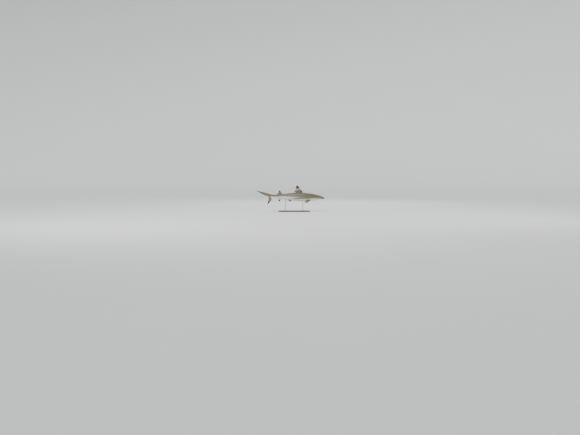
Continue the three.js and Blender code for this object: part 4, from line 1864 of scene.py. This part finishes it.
@dataclass(frozen=True)
class SharkSkinFinish:
    """Wet skin: a brown-grey back over a white belly, black fin tips, fine scales, fin rays and painted
    shade in the head's openings.
    """

    back: Row = colour(0.06, 0.046, 0.029)
    flank: Row = colour(0.2, 0.155, 0.098)
    belly: Row = colour(0.76, 0.74, 0.69)
    black: Row = colour(0.006, 0.006, 0.0065)
    pale: Row = colour(0.6, 0.53, 0.41)
    # inside: painted shade, the near-black brown that the depths of the head's openings are darkened to
    inside: Row = colour(0.03, 0.018, 0.012)
    lateral: Row = colour(0.16, 0.13, 0.092)
    dark_spot: Row = colour(0.07, 0.056, 0.04)
    pale_spot: Row = colour(0.36, 0.31, 0.22)
    scales: float = 1600
    ray_gap: float = 2.1 * MM
    block_gap: float = 15.0

    @cache
    def material(self) -> Material:
        """Builds it.

        Returns:
            The material.
        """
        shader = Shader("shark_skin")
        place = shader.place()
        mottle = shader.noise(place, 26, 4, 0.62)
        grain = shader.noise(place, 210, 3, 0.6)
        cloud = shader.noise(place, 7, 3)
        shade = shader.attribute("shade") + mottle * 0.16 + cloud * 0.1 + grain * 0.04
        base = shader.mix(shade.eased(-0.12, 0.2), self.belly, self.flank)
        base = shader.mix(shade.eased(0.16, 1.05), base, self.back)
        upper = shade.eased(0.25, 0.6)
        spots = (mottle * 1.1 + grain * 0.9 + cloud * 0.6).eased(-0.55, 0.65)
        base = shader.mix((1 - spots) * upper * 0.42, base, self.dark_spot)
        base = shader.mix(spots * upper * 0.22, base, self.pale_spot)
        line = (1 - abs(shader.attribute("line")).eased(0.5, 2.2)) * shader.attribute("lined")
        base = shader.mix(line * upper * 0.4, base, self.lateral)
        base = shader.mix(shader.attribute("pale").clipped() * 0.9, base, self.pale)
        tip = shader.attribute("tip") + mottle * 0.07 + grain * 0.03
        base = shader.mix(tip.eased(-0.035, 0.045), base, self.black)
        rear = shader.attribute("rear") + mottle * 0.25
        base = shader.mix(rear.eased(0.35, 0.8) * 0.93, base, self.black)
        # Painted shade: the skin darkens to the inside colour as the head's openings deepen.
        return shader.finished(
            Base_Color=shader.mix(shader.attribute("recess_shade").clipped(), base, self.inside),
            Roughness=(0.4 + mottle * 0.14 + grain * 0.1 + tip.eased(-0.03, 0.04) * 0.05).clipped(),
            Normal=self.relief(shader, place, mottle),
            Specular_IOR_Level=0.35, Coat_Weight=0.1, Coat_Roughness=0.16,
        )

    def relief(self, shader: Shader, place: Term, mottle: Term) -> Term:
        """The bump of the scales, the fin rays, the muscle blocks and the lateral line.

        Args:
            shader: the material being built.
            place: the place on the skin.
            mottle: the mottling, which breaks up the rays.

        Returns:
            The bumped normal.
        """
        scales = shader.cells(place, self.scales) * 0.055
        creases = shader.noise(place, 95, 4, 0.6) * 0.05
        broken = (shader.noise(place, 60, 3) * 2.4 + 0.75).clipped() * shader.attribute("fin").clipped()
        rays = (shader.attribute("ray") * (ROUND / self.ray_gap) + mottle * 5.0).sine() * broken * 0.032
        blocks = (shader.attribute("muscle") * (ROUND / self.block_gap) + mottle * 3.0).sine()
        blocks = blocks * shader.attribute("blocks").clipped() * 0.035
        groove = (1 - abs(shader.attribute("line")).eased(0.2, 1.7)) * shader.attribute("lined") * 0.16
        return shader.bump(scales + creases + rays + blocks - groove, MM)


@dataclass(frozen=True)
class EyeFinish:
    """A glossy eye: a grey-green iris with a slit pupil that stands upright."""

    pupil: Row = colour(0.002, 0.002, 0.002)
    iris: Row = colour(0.19, 0.195, 0.13)
    iris_dark: Row = colour(0.05, 0.055, 0.04)
    ring: Row = colour(0.34, 0.32, 0.2)
    white: Row = colour(0.12, 0.12, 0.1)
    pupil_width: float = 0.115
    pupil_height: float = 0.43

    @cache
    def material(self) -> Material:
        """Builds it.

        Returns:
            The material.
        """
        shader = Shader("shark_eye")
        gaze = shader.attribute("gaze", "Vector")
        across = shader.node("ShaderNodeSeparateXYZ", {}, {"Vector": gaze})
        up = across.other("Y")
        radius = (across**2.0 + up**2.0) ** 0.5
        streaks = shader.noise(shader.stretched(gaze, (1, 1, 0.1)), 19, 5, 0.7)
        base = shader.mix((radius + streaks * 0.3).eased(0.1, 0.62), self.iris_dark, self.iris)
        base = shader.mix((streaks * 2.2 + 0.4).clipped() * 0.5, base, self.ring)
        edge = (across / self.pupil_width) ** 2.0 + (up / self.pupil_height) ** 2.0 + streaks * 0.12
        base = shader.mix(1 - abs(edge - 1.25).eased(0.0, 0.5), base, self.ring)
        base = shader.mix(1 - edge.eased(0.86, 1.08), base, self.pupil)
        return shader.finished(
            Base_Color=shader.mix(radius.eased(0.76, 0.83), base, self.white), Roughness=0.16,
            Specular_IOR_Level=0.6, Coat_Weight=1.0, Coat_Roughness=0.03,
        )


@dataclass(frozen=True)
class PoreFinish:
    """The dark mouths of the snout's pores: partly their own dark tone, partly painted shade for the pits
    that the flat discs lack.
    """

    # Near-black: partly the pore's own colour, partly painted shade of its pit.
    inside: Row = colour(0.03, 0.024, 0.02)
    rim: Row = colour(0.075, 0.06, 0.045)

    @cache
    def material(self) -> Material:
        """Builds it.

        Returns:
            The material.
        """
        shader = Shader("snout_pore")
        grain = shader.noise(shader.place(), 500)
        base = shader.mix((grain + 0.5).clipped(), self.inside, self.rim)
        return shader.finished(Base_Color=base, Roughness=(0.55 + grain * 0.2).clipped())


@dataclass(frozen=True)
class WoodFinish:
    """Dark stained wood with a satin varnish, its grain along the base."""

    dark: Row = colour(0.028, 0.013, 0.007)
    light: Row = colour(0.115, 0.055, 0.026)
    vein: Row = colour(0.014, 0.007, 0.004)

    @cache
    def material(self) -> Material:
        """Builds it.

        Returns:
            The material.
        """
        shader = Shader("stained_wood")
        place = shader.place((1.0, 9.0, 9.0))
        warp = shader.noise(place, 3.2, 3)
        rings = (shader.noise(place, 2.1, 2, 0.4) * 46 + warp * 5).sine() * 0.5 + 0.5
        fibre = shader.noise(shader.place((6.0, 260.0, 260.0)), 3.5, 4, 0.7)
        pores = shader.noise(shader.place((14.0, 700.0, 700.0)), 2.4, 1).eased(0.12, 0.3)
        base = shader.mix((rings * 0.75 + fibre * 0.6).clipped(), self.dark, self.light)
        return shader.finished(
            Base_Color=shader.mix(pores * 0.75, base, self.vein),
            Roughness=(0.36 + fibre * 0.2 + pores * 0.2).clipped(),
            Normal=shader.bump(fibre * 0.1 - pores * 0.12, 0.4 * MM),
            Coat_Weight=0.35, Coat_Roughness=0.22,
        )


@dataclass(frozen=True)
class FeltFinish:
    """The soft pad under the base."""

    base: Row = colour(0.018, 0.022, 0.02)
    tuft: Row = colour(0.045, 0.052, 0.048)

    @cache
    def material(self) -> Material:
        """Builds it.

        Returns:
            The material.
        """
        shader = Shader("base_felt")
        fuzz = shader.noise(shader.place(), 900, 3, 0.7)
        base = shader.mix((fuzz * 1.4 + 0.5).clipped(), self.base, self.tuft)
        return shader.finished(Base_Color=base, Roughness=0.95, Normal=shader.bump(fuzz * 0.6, MM))


class Brushing(Enum):
    """Which way the brush marks of the steel run."""

    ROUND = (30.0, 30.0, 900.0)
    UPRIGHT = (900.0, 900.0, 12.0)


@dataclass(frozen=True)
class SteelFinish:
    """Brushed steel."""

    brushing: Brushing
    bright: Row = colour(0.6, 0.6, 0.61)
    dull: Row = colour(0.44, 0.44, 0.455)

    @cache
    def material(self) -> Material:
        """Builds it.

        Returns:
            The material.
        """
        shader = Shader(f"brushed_steel_{self.brushing.name.lower()}")
        marks = shader.noise(shader.place(self.brushing.value), 1.4, 3, 0.6)
        smudge = shader.noise(shader.place(), 42, 3)
        return shader.finished(
            Base_Color=shader.mix((marks + smudge * 0.5 + 0.5).clipped(), self.dull, self.bright),
            Metallic=1.0,
            Roughness=(0.29 + marks * 0.16 + smudge * 0.14).clipped(),
            Normal=shader.bump(marks * 0.05, 0.5 * MM),
        )


@dataclass(frozen=True)
class StudioFinish:
    """The plain pale floor."""

    pale: Row = colour(0.74, 0.745, 0.74)
    paler: Row = colour(0.77, 0.775, 0.77)

    @cache
    def material(self) -> Material:
        """Builds it.

        Returns:
            The material.
        """
        shader = Shader("studio_floor")
        cloud = shader.noise(shader.place(), 0.6, 2)
        base = shader.mix((cloud + 0.5).clipped(), self.pale, self.paler)
        return shader.finished(Base_Color=base, Roughness=0.85)


# The dressed shark


@dataclass(frozen=True)
class Place:
    """Where the frame's shark stands: the form's pose, set on the frame's eyes."""

    form: BodyForm
    eye_sunk: float = 12.32 * MM

    def shift(self) -> Array:
        """How far the frame's eyes are from where the form alone puts them.

        Returns:
            The shift, in metres.
        """
        straight = np.array([Eye(self.form, side, sunk=self.eye_sunk).ball() for side in BOTH])
        wanted = np.mean([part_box("eye_left"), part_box("eye_right")], axis=(0, 1))
        return wanted - self.form.placed(straight).mean(axis=0)

    def settle(self, mesh: Mesh) -> None:
        """Moves a straight mesh into the pose. The pose is a mirror image, so its faces are turned round."""
        set_points(mesh, self.form.placed(points_of(mesh)) + self.shift())
        mesh.flip_normals()


def finished(
    piece: Piece, nodes: Sequence[str], material: Material, sharp: float = 40.0
) -> None:
    """Gives a piece its finish and its place in the frame, and reports it.

    Args:
        piece: the piece.
        nodes: the frame's nodes that it replaces.
        material: its finish.
        sharp: the angle in degrees past which an edge stays sharp.
    """
    mesh = piece.data
    mesh.shade_smooth()
    mesh.set_sharp_from_angle(angle=math.radians(sharp))
    mesh.materials.clear()
    mesh.materials.append(material)
    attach(piece, BODY)
    if nodes:
        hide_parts(*nodes)
    LOG.info("%s: %d faces, for %s", piece.name, len(mesh.polygons), ", ".join(nodes) or "no node")


@dataclass
class Flesh:
    """The shark's one skin, and the pores of its snout."""

    place: Place
    skin: SharkSkin
    markings: Markings
    pore_gap: float = 3.1 * MM
    pore_density: float = 90000.0
    pore_radius: float = 0.55 * MM
    pore_height: float = 0.5 * MM
    pore_flare: float = 1.35
    pore_sunk: float = 0.9
    seed: int = 7
    nodes: tuple[str, ...] = (
        "head", "lower_jaw", "trunk", "tail", "first_dorsal_fin", "second_dorsal_fin", "anal_fin",
        "pectoral_fin_left", "pectoral_fin_right", "pelvic_fin_left", "pelvic_fin_right",
        "caudal_fin_upper_lobe", "caudal_fin_lower_lobe",
    )

    def build(self) -> None:
        """Builds the skin and its pores."""
        piece = self.skin.straight()
        self.markings.paint(piece.data)
        set_attribute(piece.data, "pores", self.pore_places(points_of(piece.data), normals_of(piece.data)))
        self.place.settle(piece.data)
        self.pores(piece)
        finished(piece, self.nodes, SharkSkinFinish().material())

    def pore_places(self, points: Array, normals: Array) -> Array:
        """How thickly the pores stand on the straight skin.

        Args:
            points: the skin's points, in straight metres.
            normals: the directions that they face.

        Returns:
            From 0 to 1 for each point.
        """
        along = points[:, 0] / self.place.form.length
        snout = eased(along, 0.004, 0.012) * (1 - eased(along, 0.04, 0.058))
        under = eased(-normals[:, 2], 0.1, 0.6) * (1 - eased(along, 0.054, 0.06))
        upper = eased(normals[:, 2], 0.35, 0.75) * eased(np.abs(points[:, 1]), 5 * MM, 11 * MM)
        cheek = hump(along - 0.098, 0.016) * hump(points[:, 2] + 0.012, 0.012)
        cheek *= np.abs(normals[:, 1]) > 0.6
        bare = self.skin.mouth.near(points, 5 * MM)
        for part in (*self.skin.nostrils, *self.skin.eyes):
            bare |= part.near(points, 1.35 if isinstance(part, Nostril) else 1.9)
        return np.clip(snout * (under + 0.8 * upper) + 0.35 * cheek, 0, 1) * ~bare

    def pores(self, skin: Piece) -> None:
        """Grows the pores on the placed skin.

        Args:
            skin: the skin.
        """
        piece = new_object("snout_pores", skin.data.copy())
        growth = Growth("pores", {
            "Least Gap": self.pore_gap, "Density": self.pore_density, "Radius": self.pore_radius,
            "Height": self.pore_height, "Seed": self.seed,
        })
        size = growth.given.other
        number = {"data_type": "FLOAT"}
        points = growth.node("GeometryNodeDistributePointsOnFaces", {"distribute_method": "POISSON"}, {
            "Mesh": growth.given, "Distance Min": size("Least Gap"), "Density Max": size("Density"),
            "Density Factor": growth.node("GeometryNodeInputNamedAttribute", number, {"Name": "pores"}),
            "Seed": size("Seed"),
        })
        pore = growth.node("GeometryNodeMeshCone", {"fill_type": "TRIANGLE_FAN"}, {
            "Vertices": 10, "Radius Top": size("Radius"), "Depth": size("Height"),
            "Radius Bottom": size("Radius") * self.pore_flare,
        })
        sunk = growth.node("GeometryNodeTransform", {}, {
            "Geometry": pore, "Translation": growth.vector(Z=size("Height") * -self.pore_sunk),
        })
        spread = {2: 0.65, 3: 1.15, "Seed": size("Seed")}
        grown = growth.node("GeometryNodeInstanceOnPoints", {}, {
            "Points": points, "Instance": sunk, "Rotation": points.other("Rotation"),
            "Scale": growth.node("FunctionNodeRandomValue", number, spread, 1),
        })
        growth.run(piece, grown, PoreFinish().material())
        finished(piece, (), PoreFinish().material(), 30.0)


@dataclass(frozen=True)
class Eyeball:
    """A whole eyeball in its socket, with its pole where it looks."""

    place: Place
    eye: Eye
    forward: float = math.radians(3)
    upward: float = math.radians(5)

    def build(self) -> None:
        """Builds the eyeball."""
        side = self.eye.side.value
        out = Vector((-math.sin(self.forward), side * math.cos(self.forward), math.sin(self.upward)))
        out.normalize()
        back = out.cross(Vector((0, 0, 1))).normalized() * side
        up = back.cross(out) * side
        mesh = ellipsoid((0, 0, 0), (1, 1, 1), sides=(96, 64))
        local = points_of(mesh)
        set_attribute(mesh, "gaze", local)
        set_points(mesh, self.eye.ball() + local @ np.array([back, up, out]) * self.eye.radius)
        face_outwards(mesh)
        self.place.settle(mesh)
        node = f"eye_{self.eye.side.name.lower()}"
        finished(new_object(f"{node}_ball", mesh), (node,), EyeFinish().material())


# The stand


@dataclass(frozen=True)
class StandBase:
    """The rounded wooden base, with a shadow groove near its foot and a felt pad under it.

    A level is how far it is inside the base's outline and how high, in millimetres. The rim's levels are
    counted from the top.
    """

    corner: float = 60 * MM
    steps: int = 24
    felt: float = 1.2 * MM
    felt_inset: float = 4 * MM
    round_over: float = 4.2
    foot: tuple[Spot, ...] = (
        (2.5, 1.2), (1.2, 1.6), (1.0, 2.2), (1.0, 3.6), (1.15, 3.9), (2.3, 4.0), (2.5, 4.3), (2.5, 5.4),
        (2.3, 5.7), (1.0, 5.8), (0.4, 6.0), (0.12, 6.5), (0.0, 7.2),
    )
    rim: tuple[Spot, ...] = ((7.5, 0.0), (9.0, -0.45), (10.5, -0.45), (12.0, 0.0))

    def ring(self, inset: float, z: float) -> Array:
        """One level of the base: a rectangle with round corners.

        Args:
            inset: how far inside the base's outline the level is.
            z: its height.

        Returns:
            The level's points, in order.
        """
        low, high = corners("stand_base")
        middle, reach = (low + high) / 2, (high - low) / 2 - self.corner
        points = []
        for quarter, (right, far) in enumerate(((1, 1), (-1, 1), (-1, -1), (1, -1))):
            angle = math.pi / 2 * (quarter + np.linspace(0, 1, self.steps))
            x = middle[0] + right * reach[0] + (self.corner - inset) * np.cos(angle)
            y = middle[1] + far * reach[1] + (self.corner - inset) * np.sin(angle)
            points.append(np.stack([x, y, np.full_like(angle, z)], -1))
        return np.vstack(points)

    def build(self) -> None:
        """Builds the wood and the felt."""
        low, high = corners("stand_base")
        turn = np.linspace(0, math.pi / 2, 9)
        edge = zip(self.round_over * (1 - np.cos(turn)), self.round_over * (np.sin(turn) - 1))
        levels = [*self.foot, *((inset, high[2] / MM + z) for inset, z in (*edge, *self.rim))]
        wood = lofted([self.ring(inset * MM, z * MM) for inset, z in levels])
        piece = new_object("stand_base_wood", wood)
        finished(piece, ("stand_base",), WoodFinish().material(), 50.0)
        pad = lofted([
            self.ring(self.felt_inset + inset * MM, max(z * self.felt, low[2]))
            for inset, z in ((0.4, 0.0), (0.0, 0.25), (0.0, 1.0))
        ])
        finished(new_object("stand_base_felt", pad), (), FeltFinish().material())


@dataclass(frozen=True)
class StandRod:
    """One steel rod, and the collar that holds it with three screws.

    The collar's foot and top are in millimetres: out from its outside, and up from its low or its high end.
    """

    end: str
    sides: int = 72
    chamfer: float = 0.5 * MM
    crown: float = 0.8 * MM
    bore: float = 0.12 * MM
    bevel: float = 0.7 * MM
    collar_foot: tuple[Spot, ...] = ((-0.4, 0), (0, 0.4), (0, 2.2), (-0.7, 2.5), (-0.7, 3.1), (0, 3.4))
    collar_top: tuple[Spot, ...] = ((0, -2.4), (-0.25, -1.8), (-1.7, -0.3), (-2.2, 0))
    screws: int = 3
    screw_circle: float = 12.4 * MM
    screw_radius: float = 2.1 * MM
    screw_height: float = 1.3 * MM
    screw_levels: tuple[Row, ...] = (
        (1.0, -0.2, 0), (1.0, 0.35, 0), (0.94, 0.62, 0), (0.78, 0.87, 0), (0.62, 0.98, 0),
        (0.56, 1.0, 1), (0.5, 0.93, 1), (0.5, 0.3, 1),
    )  # each one's share of the radius and of the height, and whether it is in the six-sided socket
    turn: float = 0.4

    def build(self) -> None:
        """Builds the rod, the collar and the screws."""
        rod, collar = f"stand_rod_{self.end}", f"stand_collar_{self.end}"
        low, high = corners(rod)
        middle, radius = (low + high) / 2, (high[0] - low[0]) / 2
        self.turned(rod, middle, Brushing.UPRIGHT, False, [
            (radius - self.chamfer, low[2]), (radius, low[2] + self.chamfer),
            (radius, high[2] - self.crown), (radius - self.crown, high[2]),
        ])
        low, high = corners(collar)
        bore, reach = radius + self.bore, (high[0] - low[0]) / 2
        groove = [(reach + out * MM, low[2] + up * MM) for out, up in self.collar_foot]
        crown = [(reach + out * MM, high[2] + up * MM) for out, up in self.collar_top]
        mouth = [(bore + self.bevel, high[2]), (bore, high[2] - self.bevel)]
        self.turned(collar, middle, Brushing.ROUND, True, [(bore, low[2]), *groove, *crown, *mouth])
        self.add_screws(collar, (middle[0], middle[1], high[2]))

    def turned(
        self, node: str, middle: Array, brushing: Brushing, looped: bool, profile: Sequence[Spot]
    ) -> None:
        """Builds the piece for a node by turning a profile round the rod's axis.

        Args:
            node: the node.
            middle: where the axis stands.
            brushing: which way its brush marks run.
            looped: whether the profile is closed, round a bore.
            profile: its (radius, z) places, in order.
        """
        mesh = lofted([circle(middle, radius, z, self.sides) for radius, z in profile], looped)
        steel = SteelFinish(brushing).material()
        finished(new_object(f"{node}_steel", mesh), (node,), steel, 30.0)

    def screw(self) -> Mesh:
        """One button-headed screw, standing at the origin.

        Returns:
            Its mesh.
        """
        angle = np.linspace(0, ROUND, 24, endpoint=False)
        six = math.cos(math.pi / 6) / np.cos((angle + math.pi / 6) % (math.pi / 3) - math.pi / 6)
        return lofted([
            circle((0, 0), self.screw_radius * share * (six if socket else 1), self.screw_height * level, 24)
            for share, level, socket in self.screw_levels
        ])

    def add_screws(self, collar: str, top: Sequence[float]) -> None:
        """Sets the screws in a ring on the collar's top.

        Args:
            collar: the collar's name.
            top: the middle of its top.
        """
        piece = new_object(f"{collar}_screws", self.screw())
        growth = Growth(f"{collar}_screws", {
            "Count": self.screws, "Circle": self.screw_circle, "Turn": self.turn,
            **{axis: float(place) for axis, place in zip("XYZ", top)},
        })
        size = growth.given.other
        around = {"Vertices": size("Count"), "Radius": size("Circle")}
        ring = growth.node("GeometryNodeTransform", {}, {
            "Geometry": growth.node("GeometryNodeMeshCircle", {}, around),
            "Translation": growth.vector(**{axis: size(axis) for axis in "XYZ"}),
            "Rotation": growth.vector(Z=size("Turn")),
        })
        grown = growth.node("GeometryNodeInstanceOnPoints", {}, {"Points": ring, "Instance": growth.given})
        steel = SteelFinish(Brushing.ROUND).material()
        growth.run(piece, grown, steel)
        finished(piece, (), steel, 30.0)


# The studio


@dataclass(frozen=True)
class Studio:
    """A plain pale floor that curves up far away, and soft light from all round."""

    flat: float = 24.0
    curve: float = 14.0
    sky: Row = colour(0.9, 0.95, 1.0)
    sky_light: float = 0.38
    sun_light: float = 2.7
    sun_size: float = math.radians(40)
    sun_place: Row = (-2.0, -3.0, 6.5)
    aim: Row = (0, 0, 0.3)
    panels: tuple[tuple[Row, float, float], ...] = (
        ((-3.5, -5.0, 4.5), 3.5, 210.0),
        ((4.5, -3.0, 3.2), 2.5, 70.0),
        ((1.0, 4.5, 4.0), 3.0, 110.0),
    )  # where each is, its width and its power

    def build(self) -> None:
        """Builds the floor and the lights."""
        rise = np.linspace(0, math.pi / 2, 25)[1:]
        radii = [*np.linspace(0.5, self.flat, 12), *(self.flat + self.curve * np.sin(rise))]
        heights = [*np.zeros(12), *(self.curve * (1 - np.cos(rise)))]
        rings = [circle((0, 0), radius, z, 96) for radius, z in zip(radii, heights)]
        index = np.arange(len(rings) * 96).reshape(-1, 96)
        faces = grid_faces(np.hstack([index, index[:, :1]])[:, ::-1])
        mesh = new_mesh(np.vstack(rings), [*faces, index[0].tolist()])
        mesh.shade_smooth()
        mesh.materials.append(StudioFinish().material())
        new_object("studio_floor", mesh)
        LOG.info("studio_floor: %d faces, staged", len(mesh.polygons))
        self.light()

    def light(self) -> None:
        """Hangs a soft sun, three soft panels and a pale sky."""
        world = bpy.data.worlds.new("studio")
        world.use_nodes = True
        sky = world.node_tree.nodes["Background"]
        sky.inputs["Color"].default_value = self.sky
        sky.inputs["Strength"].default_value = self.sky_light
        bpy.context.scene.world = world
        self.hang("sun", "SUN", self.sun_place, energy=self.sun_light, angle=self.sun_size)
        for number, (where, size, power) in enumerate(self.panels):
            self.hang(f"panel_{number}", "AREA", where, shape="DISK", size=size, energy=power)

    def hang(self, name: str, kind: str, where: Row, **settings: Any) -> None:
        """Hangs a light, turned towards the model.

        Args:
            name: its name.
            kind: its kind.
            where: its place.
            settings: its own settings.
        """
        light = bpy.data.lights.new(name, kind)
        for key, value in settings.items():
            setattr(light, key, value)
        lamp = new_object(name, light)
        lamp.location = where
        lamp.rotation_euler = (Vector(self.aim) - Vector(where)).to_track_quat("-Z", "Y").to_euler()
        lamp.visible_camera = False


@dataclass(frozen=True)
class Viewpoint:
    """The camera: far to the shark's right, a little above it, with the shark small in a wide view."""

    flesh: tuple[str, ...] = ("head", "trunk", "caudal_fin_upper_lobe")
    distance: float = 15.29
    above: float = math.radians(2.0)
    right: float = 0.0017
    up: float = 0.037
    lens: float = 46.9
    sensor: float = 36.0
    reach: float = 200.0

    def build(self) -> None:
        """Makes the camera and sets it as the scene's own."""
        boxes = np.array([corner for name in self.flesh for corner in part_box(name)])
        middle = (boxes.min(axis=0) + boxes.max(axis=0)) / 2
        share = self.sensor / self.lens
        lens = bpy.data.cameras.new("viewpoint")
        lens.lens = self.lens
        lens.sensor_width = self.sensor
        lens.clip_end = self.reach
        camera = new_object("viewpoint", lens)
        away = np.array([0, -math.cos(self.above), math.sin(self.above)])
        camera.location = middle + self.distance * away
        pitch = math.pi / 2 - self.above - math.atan(self.up * share)
        camera.rotation_euler = (pitch, 0, math.atan(self.right * share))
        bpy.context.scene.camera = camera


def main() -> None:
    """Builds the camera, the shark, its stand and the studio, in that order."""
    logging.basicConfig(level=logging.INFO, format="%(name)s: %(message)s")
    Viewpoint().build()
    form = BodyForm()
    place = Place(form)
    sides = {True: BOTH, False: (Side.MIDDLE,)}
    fins = [Fin(plan, side, form) for plan in FIN_PLANS for side in sides[plan.paired]]
    eyes = [Eye(form, side) for side in BOTH]
    skin = SharkSkin(form, fins, eyes, [Nostril(form, side) for side in BOTH], Mouth(form), Gills(form))
    Flesh(place, skin, Markings(form, fins, skin.mouth)).build()
    for eye in eyes:
        Eyeball(place, eye).build()
    StandBase().build()
    for end in ("front", "rear"):
        StandRod(end).build()
    Studio().build()


if __name__ == "__main__":
    main()
